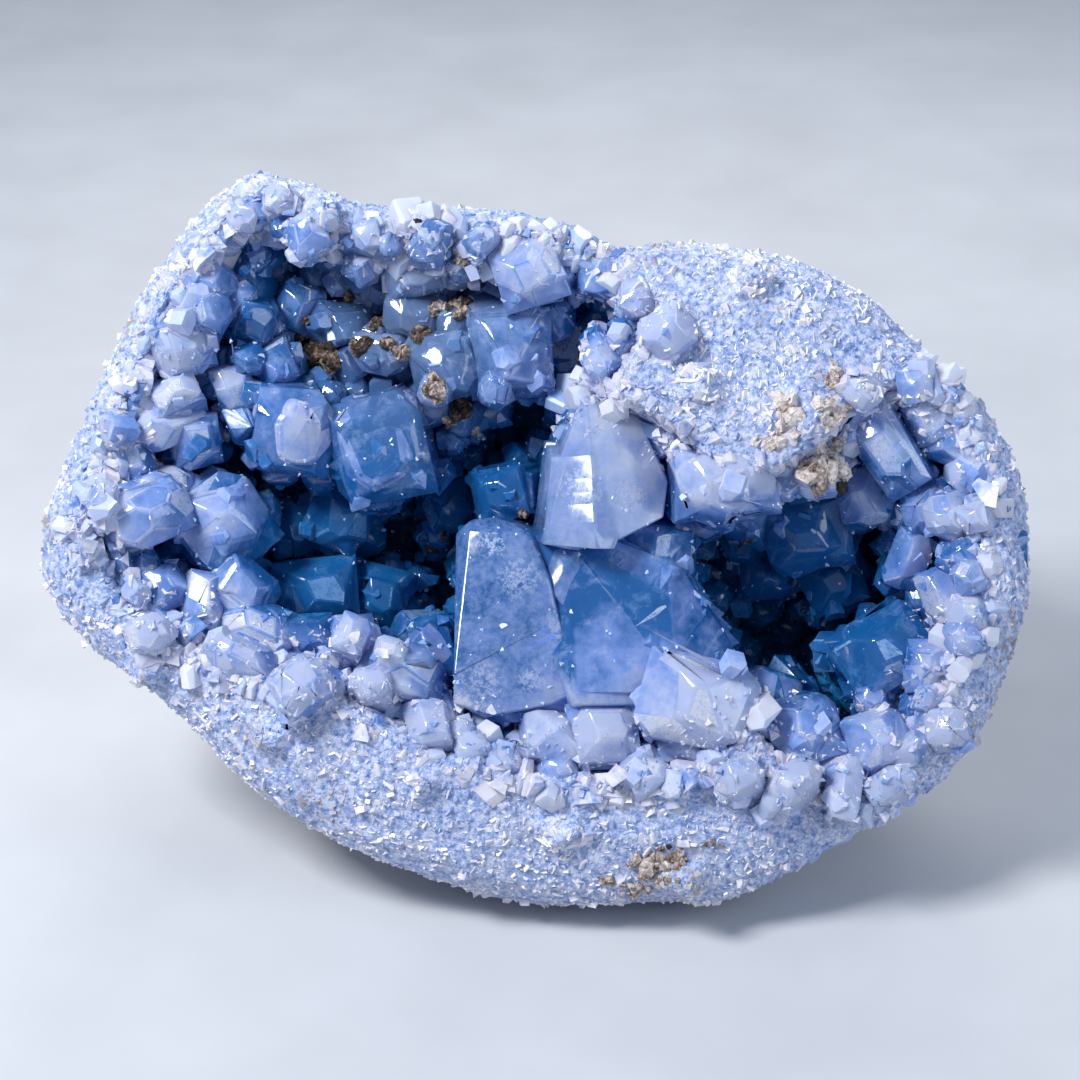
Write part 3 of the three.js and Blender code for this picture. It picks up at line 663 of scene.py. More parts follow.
# %% Slab, fan and pyramid
PLATES = {
    "slab": dict(
        at=(-4, -17), deep=-4, lean=(-0.1, 0.03),
        outline=[(-17.5, -35), (-9, -37.5), (3, -35), (8.6, -32.5), (9.2, -25), (7.5, -20), (3.2, -9),
                 (1, 0.5), (-5, 3.6), (-9.5, 4.9), (-14, 4.4), (-17.3, 1.6)],
        tips=[(0.07, 0.02, 1, 0), (-0.8, 0.1, 0.6, 10.2), (0.1, 0.75, 0.66, 13.6), (0.2, -0.7, 0.7, 13.2),
              (0.14, -0.16, 1, 1.2), (0.24, 0.1, 1, 1.5)],
    ),
    "fan": dict(
        at=(22, -15), deep=-0.5, lean=(0.12, 0.1),
        outline=[(1, -20), (8, -36), (38, -35.5), (44.6, -32), (44.2, -25.4), (42.6, -18.8), (40.5, -14.4),
                 (36.7, -8.8), (30.2, -3.2), (22, 0.9), (15.4, 2.3), (5.7, 0.9), (1.5, -1.7)],
        tips=[(0.06, 0.12, 1, 0), (0.5, 0.16, 0.86, 4.6), (-0.5, 0.1, 0.86, 8.2), (0.1, 0.5, 0.85, 6)],
        tone=0.6,
    ),
    "fan_face": dict(
        at=(22, -17), deep=-2.8, lean=(0.12, 0.1),
        outline=[(12.4, -18.5), (19, -28), (29, -26.5), (32.4, -19.5), (25, -8.4), (15.2, -7)],
        tips=[(-0.14, 0.2, 1, 0), (0.16, -0.24, 1, 0.7)], tone=0.0, frost_and_highlight=0.9,
    ),
    "fan_side": dict(
        at=(6, -7), deep=-2.4, lean=(0.02, 0.05),
        outline=[(2.6, -10.3), (6.4, -14.4), (10.4, -9.4), (9.6, -2.2), (3, -1.4)],
        tips=[(-0.4, 0.14, 1, 0.2), (0.4, -0.1, 0.9, 0.9)], tone=0.3, frost_and_highlight=0.2,
    ),
    "fan_rib": dict(
        at=(8, -18), deep=-2.6, lean=(0.05, 0),
        outline=[(3.4, -17), (6, -20.6), (13, -20.4), (12.4, -16.4), (8, -15.2)],
        tips=[(0, 0.5, 0.9, 0.4), (0.05, -0.5, 0.9, 0.9)], tone=0.1, frost_and_highlight=0.6,
    ),
    "pyramid": dict(
        at=(13, 5), deep=-8, lean=(0.02, -0.2),
        outline=[(1.8, -1.2), (9, -2.4), (17.7, -0.2), (27.4, 4.2), (28.2, 11), (22, 24.5), (11, 29.4),
                 (5, 14.5)],
        tips=[(-0.42, 0.2, 0.88, 0.6), (0.36, 0.26, 0.9, 0.6), (0.05, -0.6, 0.8, 3.2), (0.5, -0.2, 0.9, 4.6)],
        tone=0.2, frost_and_highlight=0.3,
    ),
}
DRAFT = 0.08
PLATE_ROOT = 24


def cut_plate(name, at, deep, lean, outline, tips, bevel_mm=0.35, tone=0.35, frost_and_highlight=0.0):
    """A crystal whose sides follow an outline, a little narrower towards its tip."""
    tip = Vector((at[0], deep, at[1]))
    growth = growth_from(tip, None, lean)
    planes = [((x, y, z), distance) for x, y, z, distance in tips]
    corners = [Vector((x - at[0], z - at[1])) for x, z in outline]
    for corner, after in zip(corners, corners[1:] + corners[:1]):
        side = Vector((after.y - corner.y, corner.x - after.x)).normalized()
        planes.append(((side.x, side.y, DRAFT), side.dot(corner)))
    planes.append(((0, 0, -1), min(root_below(tip, growth), PLATE_ROOT)))
    plate = new_cube(name, 200)
    with editing(plate):
        cut(planes)
        bpy.ops.transform.resize(value=(MM, MM, MM), center_override=(0, 0, 0))
        bpy.ops.mesh.bevel(offset=bevel_mm * MM, segments=1, affect="EDGES")
    plate.data.transform(seat(tip, growth, 0))
    for attribute, value in (("tone", tone), ("frost_and_highlight", frost_and_highlight), ("plate", 1)):
        give(plate, attribute, value)
    return plate


plate_bodies = [cut_plate(name, **plan) for name, plan in PLATES.items()]
print("plates:", [len(plate.data.polygons) for plate in plate_bodies])

# %% [markdown]
# The fan's right side is ragged, because it is a stack of thin blades that fan out from one place: each
# tooth is the point of one blade. The pyramid's pale left face has ledges where its growth paused, and each
# ledge is a thin sheet on the one below, noted by how high it reaches and how proud it stands.

# %% Blades of the fan and ledges of the pyramid
FAN_FROM = Vector((20, -16))
BLADE_HALF_WIDTH = 3.4
TEETH = [(33, -6.5), (38.5, -11.5), (41.8, -15.2), (43.4, -18.2), (44.9, -21.4), (45.1, -24.6), (46, -27.4),
         (44.6, -30.2), (45.6, -32.8)]
for number, tooth in enumerate(TEETH):
    reach = Vector(tooth) - FAN_FROM
    side = Vector((-reach.y, reach.x)).normalized() * BLADE_HALF_WIDTH
    start, neck = FAN_FROM, FAN_FROM + reach * 0.82
    outline = [tuple(corner) for corner in (start - side, neck - side * 0.9, Vector(tooth), neck + side * 0.9,
                                            start + side)]
    plate_bodies.append(cut_plate(f"fan_blade_{number}", (22, -15), -0.3 + 0.7 * (number % 3), (0.12, 0.1),
                                  outline, [(0.25, 0.05, 1, 0.8), (-0.3, 0.08, 1, 2.2)], bevel_mm=0.2))
PYRAMID_LEDGES = [(17, 0.66), (12.4, 0.74), (9.6, 0.84), (7.2, 0.93), (3.4, 1.05)]
for number, (top, proud) in enumerate(PYRAMID_LEDGES):
    outline = [(2.2, -1.2), (17, -1.8), (20, top + 2), (4.2, top - 0.6)]
    plate_bodies.append(cut_plate(f"pyramid_ledge_{number}", (13, 5), -8, (0.02, -0.2), outline,
                                  [(-0.42, 0.2, 0.88, proud), (0.36, 0.26, 0.9, 0.58)], 0.08, 0.2, 0.45))
plate_surfaces = [surface_of(plate) for plate in plate_bodies]
print("with blades and ledges:", len(plate_bodies))

# %% [markdown]
# The smaller crystals that still catch the eye have a list too. Only their place, size and habit are noted:
# how deep they stand is found by a ray from in front of the mouth that meets the solids.

# %% Smaller crystals that catch the eye
SMALL_CRYSTALS = [
    ((-54.8, 72.6), (6, 6), "gem"), ((-62.3, 39.3), (7, 7), "gem"),
    ((-61.4, 32), (6, 6), "block"), ((-49.5, 59.2), (6.5, 6), "pyramid"), ((-44.2, 57.7), (7, 6.5), "stubby"),
    ((-12.1, 56.1), (7, 7), "stubby"), ((-22.1, 32.9), (7, 7), "gem"), ((-6.8, 24.1), (5.5, 9.5), "chisel"),
    ((1.5, 21.9), (8, 8.5), "stubby"), ((-19, 22.8), (7, 7), "gem"), ((28.3, 42.9), (10, 9), "chisel"),
    ((14.6, 37.8), (8, 8), "stubby"), ((-85.3, -5.5), (8, 8), "gem"), ((-81.5, -19.4), (9.5, 8), "stubby"),
    ((-63.2, -25), (17, 8), "stubby"), ((-49.5, -30.3), (13, 12), "gem"), ((-13.7, -44), (7.5, 7.5), "gem"),
    ((88.4, 5.5), (9, 9), "stubby"), ((94.5, 5.1), (7, 7), "block"), ((38.4, -0.2), (6.5, 7), "pyramid"),
    ((66.3, -53), (8, 14.5), "chisel"), ((76.2, -52.4), (12, 7), "stubby"), ((55, -50.8), (13.5, 9), "gem"),
    ((74, -34.2), (8, 8), "gem"), ((91.7, -21), (8, 9), "stubby"),
    ((-90, 24), (7, 8), "chisel"), ((-39.5, -20.3), (7, 9), "chisel"),
    ((-31.3, -24.2), (7, 7), "gem"), ((-35, -30), (8, 8), "gem"), ((-23, -39), (9, 12), "chisel"),
    ((-63, 69), (6, 6), "stubby"),
    ((-45, 69), (6, 5), "chisel"), ((-36, 65), (6, 6), "pyramid"), ((22, 51), (8, 8), "stubby"),
    ((-9, 33), (7, 8), "gem"), ((5, -50), (9, 8), "stubby"), ((24, -50), (9, 8), "gem"),
    ((43, -50), (10, 9), "stubby"), ((93, -8), (7, 8), "stubby"),
    ((88, -40), (9, 9), "stubby"), ((82, 33), (8, 8), "chisel"), ((70, 31), (8, 7), "stubby"),
]


def in_front(right, up, surfaces):
    """Where a ray into the mouth first meets one of some surfaces."""
    start = at_mouth(right, up, -60)
    hits = [surface.ray_cast(start, INTO_MOUTH, 0.13) for surface in surfaces]
    return min((hit for hit in hits if hit[3] is not None), key=lambda hit: hit[3])[0]


small_bodies = []
for number, (at, size, habit) in enumerate(SMALL_CRYSTALS):
    place = in_front(*at, [crust_surface, wall_surface])
    deep = mouth_view([place])[0, 1] - 0.25 * min(size)
    focus = LEFT_FOCUS if at[0] < 5 else RIGHT_FOCUS if at[0] > 45 else MIDDLE_FOCUS
    tone = chance.uniform(0, 1)
    roll = chance.uniform(-45, 45)
    for body in grow(f"small_{number}", at, deep, size, roll, focus, habit, longest_root=max(size) * 1.3):
        tint_faces(body, tone)
        small_bodies.append(body)

# %% [markdown]
# ## Growing together
# Between the large crystals stand some hundreds of middle-sized ones. They differ little, so ten forms are
# cut with care, and each is copied many times, with a mesh of its own, to places drawn on the bed. The bed
# is the crust's own solid, shrunk a little. A boolean union then joins every crystal to it, so that light
# can pass from one to the next as it does in the stone.

# %% Drawing points on a surface
def draw_points(piece, count):
    """Random points on a piece, spread evenly over its area, with the normals there."""
    mesh = piece.data
    mesh.calc_loop_triangles()
    corners = read(mesh.vertices, "co", float, 3)
    a, b, c = corners[read(mesh.loop_triangles, "vertices", np.int32, 3)].transpose(1, 0, 2)
    cross = np.cross(b - a, c - a)
    area = np.linalg.norm(cross, axis=1)
    chosen = chance.choice(len(area), count, p=area / area.sum())
    u, v = chance.random((2, count, 1))
    flip = u + v > 1
    u, v = np.where(flip, 1 - u, u), np.where(flip, 1 - v, v)
    points = a[chosen] + u * (b - a)[chosen] + v * (c - a)[chosen]
    return points, cross[chosen] / area[chosen, None]


def thin_out(points, spacing):
    """Indices of points that stay when none may be nearer to one before it than its own spacing."""
    kept, taken = [], {}
    for index, (point, gap) in enumerate(zip(points, spacing)):
        cell = tuple((point / spacing.max()).astype(int))
        around = [taken.get((cell[0] + i, cell[1] + j, cell[2] + k), ())
                  for i in (-1, 0, 1) for j in (-1, 0, 1) for k in (-1, 0, 1)]
        if all(np.sum((points[other] - point) ** 2) > gap * gap for group in around for other in group):
            taken.setdefault(cell, []).append(index)
            kept.append(index)
    return kept


def with_room(points, normals, widths, spacing):
    """Draws a width in millimetres for each point, and keeps the points that have room for it."""
    width = chance.uniform(*widths, len(points)) * MM
    kept = thin_out(points, width * spacing)
    return points[kept], normals[kept], width[kept, None]


def unit(vectors):
    return vectors / np.linalg.norm(vectors, axis=1, keepdims=True)


def scattered(normals, spread, forward=0.0):
    """Directions to grow in: the normals, scattered by chance, and drawn towards the open mouth."""
    axes = unit(normals + chance.normal(0, spread, normals.shape))
    return unit(axes - forward * np.array(INTO_MOUTH)) if forward else axes


def bases(axes, rolls):
    """Turning matrices whose third column is each axis, rolled about it."""
    helper = np.where(np.abs(axes[:, :1]) < 0.9, [[1.0, 0, 0]], [[0, 1.0, 0]])
    across = unit(np.cross(axes, helper))
    along = np.cross(axes, across)
    turned = np.cos(rolls)[:, None] * across + np.sin(rolls)[:, None] * along
    return np.stack([turned, np.cross(axes, turned), axes], axis=2)


# %% Choosing among the points
CLEAR_FACES = [((41, 10), 11), ((34, 14), 6), ((-83, 6), 6), ((77, 19), 6)]


def touching(points, surface, gap_mm):
    """Which points lie within a gap of a surface."""
    return np.array([surface.find_nearest(Vector(point), gap_mm * MM)[3] is not None for point in points])


def clear_of_plates(points, gap_mm=1.6):
    return ~np.any([touching(points, surface, gap_mm) for surface in plate_surfaces], axis=0)


def round_tip(points, tip, growth):
    """How far each point lies below a crystal's tip, along its axis, and how far aside."""
    offset = points - np.array(tip)
    below = -offset @ np.array(growth)
    return below, np.linalg.norm(offset + below[:, None] * np.array(growth), axis=1)


def clear_of_tips(points, wide=0.75, long=0.42):
    """Which points aren't on the face of a large crystal."""
    clear = np.ones(len(points), bool)
    for tip, growth, reach in tips:
        below, aside = round_tip(points, tip, growth)
        clear &= ~((aside < reach * wide) & (below < reach * long))
    return clear


def within(points, spot, radius):
    """Which points the viewer sees within a radius of a spot of the mouth."""
    view = mouth_view(points)
    return np.hypot(view[:, 0] - spot[0], view[:, 2] - spot[1]) < radius


def off_clear_faces(points):
    """Which points aren't on the few large crystals that stay clean."""
    return ~np.any([within(points, *face) for face in CLEAR_FACES], axis=0)


def away_from_wall(points, gap_mm=0.9):
    """Which points stand in the open, neither in the wall nor close to it."""
    found = [wall_surface.find_nearest(Vector(point))[:2] for point in points]
    return np.array([(Vector(point) - skin).dot(normal) > gap_mm * MM
                     for point, (skin, normal) in zip(points, found)])


# %% Middle-sized crystals
def cut_forms(name, habits, heights, root, **how):
    """One crystal for each habit, a metre wide, for copies of any size."""
    return [cut_crystal(f"{name}_{number}", habit, (1000, chance.uniform(*heights)), root, **how)
            for number, habit in enumerate(habits)]


FILLER_HABITS = ["block", "chisel", "pyramid", "stubby", "gem", "block", "pyramid", "stubby", "chisel", "gem"]
filler_forms = cut_forms("filler_form", FILLER_HABITS, (800, 1250), 900, vary=0.14, facets=3)
points, normals = draw_points(crust_cad, 9000)
chosen = away_from_wall(points) & clear_of_tips(points, 0.62, 0.3) & clear_of_plates(points, 5)
points, normals, width = with_room(points[chosen], normals[chosen], (4.5, 10.5), 0.8)
axes = scattered(normals, 0.25, forward=0.45)
turns = bases(axes, chance.uniform(0, 2 * math.pi, len(points)))
filler_bodies = []
for point, turn, (size,), axis in zip(points, turns, width, axes):
    form = filler_forms[chance.integers(len(filler_forms))]
    body = bpy.data.objects.new("filler", form.data.copy())
    placed = Matrix(turn).to_4x4()
    placed.translation = point + axis * size * chance.uniform(-0.15, 0.25)
    body.data.transform(placed @ Matrix.Diagonal((size, size, size * chance.uniform(0.9, 1.5), 1)))
    tint_faces(body, chance.uniform(0.1, 1))
    filler_bodies.append(body)
print("middle-sized crystals:", len(filler_bodies))

# %% Joining the crystals and their bed
crust = copy_of_node("crystal_crust", "crystal_druse")
with editing(crust):
    bpy.ops.transform.shrink_fatten(value=-0.5 * MM)
for name, value in (("tone", 0.7), ("frost_and_highlight", 0), ("plate", 0)):
    give(crust, name, value)
grown_together = bpy.data.collections.new("grown_together")
bpy.context.scene.collection.children.link(grown_together)
bodies = [*left_bodies, *middle_bodies, *right_bodies, *small_bodies, *plate_bodies, *filler_bodies]
for body in bodies:
    grown_together.objects.link(body)
apply_modifier(crust, "BOOLEAN", operation="UNION", operand_type="COLLECTION", collection=grown_together,
               solver="MANIFOLD")
for body in bodies + filler_forms:
    bpy.data.objects.remove(body)

TOP = cad_box[1][2] - 0.1 * MM
with editing(crust):
    bpy.ops.mesh.bisect(plane_co=(0, 0, TOP), plane_no=(0, 0, 1), use_fill=True, clear_outer=True)

# %% [markdown]
# A root can be longer than the wall is thick. Inside a hollow, every ray that goes outwards and back meets
# the wall. A corner whose ray doesn't has come out at the back, so it is drawn into the wall again.

# %% Drawing roots back into the wall
GEODE_CORE = at_mouth(0, 0, 25)
drawn_in = 0
for vertex in crust.data.vertices:
    skin, normal, _, _ = wall_surface.find_nearest(vertex.co)
    if (vertex.co - skin).dot(normal) < -0.5 * MM or normal.dot(INTO_MOUTH) < -0.3:
        continue
    offset = vertex.co - GEODE_CORE
    aside = (offset - INTO_MOUTH * offset.dot(INTO_MOUTH)).normalized()
    outwards = (aside + INTO_MOUTH * 0.7).normalized()
    if normal.dot(outwards) > 0 and wall_surface.ray_cast(vertex.co + outwards * MM, outwards)[3] is None:
        vertex.co = skin - normal * 2.5 * MM
        drawn_in += 1
print("root corners drawn in:", drawn_in)

# %% [markdown]
# The union keeps each face's numbers. The material also wants to know how far a spot is below its crystal's
# tip, and how near to the rim. A few large faces that face the mouth, listed one by one, are whitened and
# roughened through their frost number: partly frost, partly a painted highlight where they catch the light.

# %% What the material reads from the crust
RIM_REACH = 20
BRIGHT_FACES = [
    ((30, -38), 7), ((-78, 33), 6), ((-71, 52), 3.5), ((-76, 11), 5), ((-29, -24), 3), ((-72, -16), 3),
    ((-62, -18), 3), ((80, -26), 4), ((78, 17), 4), ((-33, 22), 2), ((-59, 66), 3), ((-22, 57), 3),
    ((3, 60), 3),
]
wall_corners = read(wall_cad.data.vertices, "co", float, 3)
front = mouth_view(wall_corners)[:, 1] < 9
lip = KDTree(len(wall_corners))
for index in np.flatnonzero(front & touching(wall_corners, crust_surface, 6)):
    lip.insert(wall_corners[index], index)
lip.balance()


def lip_distance(points):
    """Metres from each point to the lip between the wall and its crystals."""
    return np.array([lip.find(Vector(point))[2] for point in points])


def rimward(points):
    """1 at the rim round the hollows, 0 from RIM_REACH millimetres away from it."""
    return np.maximum(0.0, 1 - lip_distance(points) / (RIM_REACH * MM))


mesh = crust.data
middles = read(mesh.polygons, "center", float, 3)
facing = read(mesh.polygons, "normal", float, 3) @ np.array(INTO_MOUTH) < -0.75
large = read(mesh.polygons, "area") > 6 * MM * MM
shallow = mouth_view(middles)[:, 1] < 20
frost_and_highlight = read(mesh.attributes["frost_and_highlight"].data, "value")
# These faces are whitened partly as frost and partly as a painted highlight.
for face in BRIGHT_FACES:
    frost_and_highlight[within(middles, *face) & facing & large & shallow] = 1
mesh.attributes["frost_and_highlight"].data.foreach_set("value", frost_and_highlight)
is_plate = read(mesh.attributes["plate"].data, "value") > 0.5
mesh.attributes.remove(mesh.attributes["plate"])
mesh.materials.clear()
for material in (sky_glass, plate_glass):
    mesh.materials.append(material)
mesh.polygons.foreach_set("material_index", is_plate.astype(np.int32))
places = read(mesh.vertices, "co", float, 3)
below_tip = np.ones(len(places))
for tip, growth, reach in tips:
    under, aside = round_tip(places, tip, growth)
    inside = (aside < reach * 0.75) & (under > -reach * 0.5)
    below_tip = np.where(inside, np.minimum(below_tip, np.clip(under / reach, 0, 1)), below_tip)
give(crust, "below", below_tip, "POINT")
give(crust, "rimward", rimward(places), "POINT")
pick(crust)
bpy.ops.object.shade_smooth_by_angle(angle=math.radians(26))
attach(crust, "root")
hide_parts("crystal_crust")
print("crust:", len(mesh.polygons), "faces, bright ones:", int(frost_and_highlight.sum()))

# %% [markdown]
# ## The wall
# The wall is one lump of granular celestite with a thin rind. Its solid already has the right form, so a
# copy of it is remeshed into small even faces, and then roughened: broad lumps, finer ones, and grains on
# the rim.

# %% Remeshing and roughening the wall
LUMPS = [(13, 1.5, "all_over"), (5, 0.8, "all_over"), (2.2, 0.7, "rim")]
FLOOR_GAP = 0.00002

wall = copy_of_node("geode_wall", "geode_wall_skin")
apply_modifier(wall, "REMESH", mode="VOXEL", voxel_size=1.38 * MM)
places = read(wall.data.vertices, "co", float, 3)
open_air = ~touching(places, crust_surface, 1.5)
towards_mouth = np.clip((20 - mouth_view(places)[:, 1]) / 22, 0, 1)
for name, weights in (("all_over", open_air * 1.0), ("rim", open_air * towards_mouth)):
    group = wall.vertex_groups.new(name=name)
    for index, weight in enumerate(weights):
        group.add([index], float(weight), "REPLACE")

for size_mm, height_mm, group in LUMPS:
    lumps = bpy.data.textures.new(f"lumps_{size_mm}", "CLOUDS")
    lumps.noise_scale = size_mm * MM
    apply_modifier(wall, "DISPLACE", texture=lumps, strength=height_mm * MM, mid_level=0.75,
                   vertex_group=group)
with editing(wall):
    bpy.ops.mesh.bisect(plane_co=(0, 0, FLOOR_GAP), plane_no=(0, 0, -1), use_fill=True, clear_outer=True)
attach(wall, "root")
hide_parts("geode_wall")
print("wall:", len(wall.data.polygons), "faces")

# %% Granular celestite and rind
rim = Finish("granular_rim", Roughness=0.45, IOR=CELESTITE_IOR)
ground = rim.ramp(rim.noise(1.5, 4, 0.7),
                  [(0.32, (0.05, 0.12, 0.32)), (0.46, (0.24, 0.33, 0.58)), (0.62, (0.58, 0.61, 0.76))])
rind = rim.ramp(rim.noise(9, 4, 0.7),
                [(0.3, (0.3, 0.28, 0.3)), (0.5, (0.5, 0.49, 0.53)), (0.7, (0.66, 0.65, 0.72))])
behind = rim.plus(rim.depth(8, 24), rim.range(rim.noise(7, 3), 0.3, 0.7, -0.3, 0.3))
rim.set(Base_Color=rim.mix(rim.range(behind, 0, 1), ground, rind),
        Normal=rim.bump(rim.noise(0.9, 2, 0.7), 0.5, 0.8))
wall.data.materials.append(rim.material)

# %% [markdown]
# ## Sowing small crystals
# A broken geode is covered in thousands of grains. A handful of forms is cut first, and copies of them are
# then sown over a surface: points are drawn at random by area, those too close together are dropped, and
# each point gets one copy, turned and sized by chance, all joined in one mesh.


# %% Joining copies in one mesh
BOX_LOW, BOX_HIGH = (np.array(corner) for corner in cad_box)


def sow(name, forms, points, axes, sizes, material):
    """One mesh of copies of the forms: sizes are (wide, tall, long) factors for each point."""
    turns = bases(axes, chance.uniform(0, 2 * math.pi, len(points)))
    picks = chance.integers(0, len(forms), len(points))
    tones = chance.random(len(points))
    corners, faces, face_tones, start = [], [], [], 0
    for number, form in enumerate(forms):
        form_corners = np.array([vertex.co for vertex in form.data.vertices])
        form_faces = [tuple(face.vertices) for face in form.data.polygons]
        for index in np.flatnonzero(picks == number):
            grain = (form_corners * sizes[index]) @ turns[index].T + points[index]
            if (grain < BOX_LOW).any() or (grain > BOX_HIGH).any():
                continue
            corners.append(grain)
            faces += [tuple(corner + start for corner in face) for face in form_faces]
            face_tones += [tones[index]] * len(form_faces)
            start += len(form_corners)
    corners = np.concatenate(corners)
    mesh = bpy.data.meshes.new(name)
    mesh.from_pydata(corners.tolist(), [], faces)
    mesh.materials.append(material)
    piece = bpy.data.objects.new(name, mesh)
    bpy.context.scene.collection.objects.link(piece)
    give(piece, "tone", face_tones)
    give(piece, "frost_and_highlight", chance.random(len(faces)) < 0.06)
    give(piece, "below", 0.25, "POINT")
    give(piece, "rimward", rimward(corners), "POINT")
    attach(piece, "root")
    print(name, len(points), "grains,", sum(len(face) - 2 for face in faces), "triangles")


def sow_halves(name, split, forms, points, axes, sizes, material):
    """Two pieces, left and right of a split in millimetres from the mouth's middle."""
    left = mouth_view(points)[:, 0] < split
    for side, chosen in (("left", left), ("right", ~left)):
        sow(f"{name}_{side}", forms, points[chosen], axes[chosen], sizes[chosen], material)


def proportions(width, tall, long):
    """Sizes from widths: how tall and how long each grain is are ranges of shares of its width."""
    ones = np.ones(len(width))
    return width * np.column_stack([ones, chance.uniform(*tall, len(ones)), chance.uniform(*long, len(ones))])


def sunk(width, low, high):
    """How deep each grain sits in what it grows on, drawn from a range of shares of its width."""
    return width * chance.uniform(low, high, (len(width), 1))


# %% Forms for the grains
HABITS["grain"] = [(1, 0, 0.25, 0.8), (-1, 0.1, 0.2, 0.8), (0.1, 1, 0.3, 0.8), (0, -1, 0.25, 0.8),
                   (0.3, 0.2, 1, 0.6)]
HABITS["wedge"] = [(1, 0, 0.1, 0.8), (-1, 0, 0.1, 0.8), (0, 0.8, 0.6, 0.7), (0, -0.8, 0.6, 0.7)]
HABITS["lump"] = [(1, 0.2, 0.5, 0.66), (-0.8, 0.6, 0.4, 0.66), (-0.5, -1, 0.5, 0.66), (0.7, -0.7, 0.4, 0.66),
                  (0.1, 0.1, 1, 0.6)]
GRAIN_HABITS = ["grain", "lump", "grain", "lump", "grain", "wedge", "lump"]
LIP_HABITS = ["stubby", "block", "pyramid", "chisel", "stubby", "gem"]
SMALL_HABITS = ["block", "pyramid", "chisel", "pyramid", "block"]
plain = dict(edge_rows=0, vary=0.2)
grain_forms = cut_forms("grain_form", GRAIN_HABITS, (750, 1200), 600, facets=0, **plain)
lip_forms = cut_forms("lip_form", LIP_HABITS, (750, 1300), 700, facets=3, **plain)
small_forms = cut_forms("small_form", SMALL_HABITS, (750, 1200), 600, facets=0, **plain)
print("grain forms:", [len(form.data.polygons) for form in grain_forms + lip_forms + small_forms], "faces")

# %% Grains on the rim
RUSTY = [
    ((25, 65, 0), 13), ((-88, 48, 1), 11), ((104, -20, 0), 15), ((102, -34, 6), 10), ((91, -43, -2), 12),
    ((30, -72, -5), 13), ((-47, -58, -4), 13), ((-62, -45, -7), 12), ((-105, 2, 0), 8), ((50, 46, -4), 9),
]
RUST = (0.36, 0.3, 0.27)
PALE_PATCH = ((40, 44, 0), 40)
RIM_BLUES = [(0.0, (0.82, 0.78, 0.78)), (0.3, (0.63, 0.61, 0.7)), (0.52, (0.42, 0.46, 0.64)),
             (0.78, (0.17, 0.29, 0.57)), (1.0, (0.04, 0.14, 0.4))]

# Each grain has a tone of its own. Broad patches and nearness to a hollow turn it blue.
grains = Finish("rim_grains", IOR=CELESTITE_IOR, Specular_IOR_Level=0.6)
level = grains.plus(grains.range(grains.noise(12, 4, 0.75), 0.42, 0.62, -0.05, 0.55),
                    grains.range(grains.attribute("tone"), 0, 1, -0.1, 0.16),
                    grains.times(grains.attribute("rimward"), 0.3),
                    grains.range(grains.noise(2.2, 2), 0.35, 0.65, -0.14, 0.14),
                    grains.times(grains.near(*PALE_PATCH), -0.4))
rust = grains.most(*[grains.near(*patch) for patch in RUSTY])
rust = grains.range(grains.times(rust, grains.noise(2.6, 3, 0.7)), 0.14, 0.34, 0, 0.75)
grains.set(Base_Color=grains.mix(rust, grains.ramp(level, RIM_BLUES), RUST),
           Roughness=grains.range(grains.attribute("tone"), 0, 1, 0.2, 0.55))


def on_rim(points, reach):
    """Which points lie on the open rim, fewer and fewer towards the rind."""
    share = np.clip((reach - mouth_view(points)[:, 1]) / 18, 0, 1)
    return ~touching(points, crust_surface, 1.2) & (chance.random(len(points)) < share)


def sow_rim(name, forms, count, widths, spacing, tilt, sunk_by, reach, material, nearness=0.0):
    """Sows crystals over the rim: widths in millimetres, spacing and sunk_by as shares of the width. Nearness
    keeps them close to the hollows."""
    points, normals = draw_points(wall, count)
    chosen = on_rim(points, reach)
    if nearness:
        chosen &= rimward(points) > nearness * chance.uniform(0.5, 1.5, len(points))
    points, normals, width = with_room(points[chosen], normals[chosen], widths, spacing)
    axes = scattered(normals, tilt)
    sizes = proportions(width, (0.8, 1.4), (0.9, 1.5))
    points = points - normals * sunk(width, *sunk_by)
    sow_halves(name, 5, forms, points, axes, sizes, material)


sow_rim("rim_mosaic", grain_forms, 90000, (1.6, 3.8), 0.48, 0.2, (0.52, 0.68), 20, grains.material)
sow_rim("rim_sugar", grain_forms, 220000, (0.9, 2.0), 0.62, 0.38, (0.34, 0.56), 19, grains.material)
sow_rim("rim_crystals", lip_forms, 60000, (2.2, 5), 0.5, 0.3, (0.5, 0.75), 12, pale_glass, nearness=0.7)

# %% Crystals that hide the seam between the hollows and the rim
sides = []
for piece, surface in ((crust_cad, wall_surface), (wall_cad, crust_surface)):
    points, normals = draw_points(piece, 40000)
    near = touching(points, surface, 2.6) & (lip_distance(points) < 5 * MM) & off_clear_faces(points)
    sides.append((points[near], normals[near]))
points, normals = (np.concatenate(both) for both in zip(*sides))
order = chance.permutation(len(points))
points, normals, width = with_room(points[order], normals[order], (2.4, 5.8), 0.55)
axes = scattered(normals, 0.35, forward=0.9)
sizes = proportions(width, (0.8, 1.3), (0.9, 1.5))
points = points - axes * sunk(width, 0.4, 0.7)
sow("lip_crystals", lip_forms, points, axes, sizes, pale_glass)

# %% Druse between the crystals of the hollows
points, normals = draw_points(crust, 40000)
bare = clear_of_tips(points) | (chance.random(len(points)) < 0.03)
chosen = away_from_wall(points) & clear_of_plates(points) & bare
points, normals, width = with_room(points[chosen], normals[chosen], (1.8, 5.2), 0.8)
axes = scattered(normals, 0.35)
sizes = proportions(width, (0.8, 1.3), (0.9, 1.5))
points = points - normals * width * 0.35
sow_halves("druse", 15, small_forms, points, axes, sizes, druse_glass)

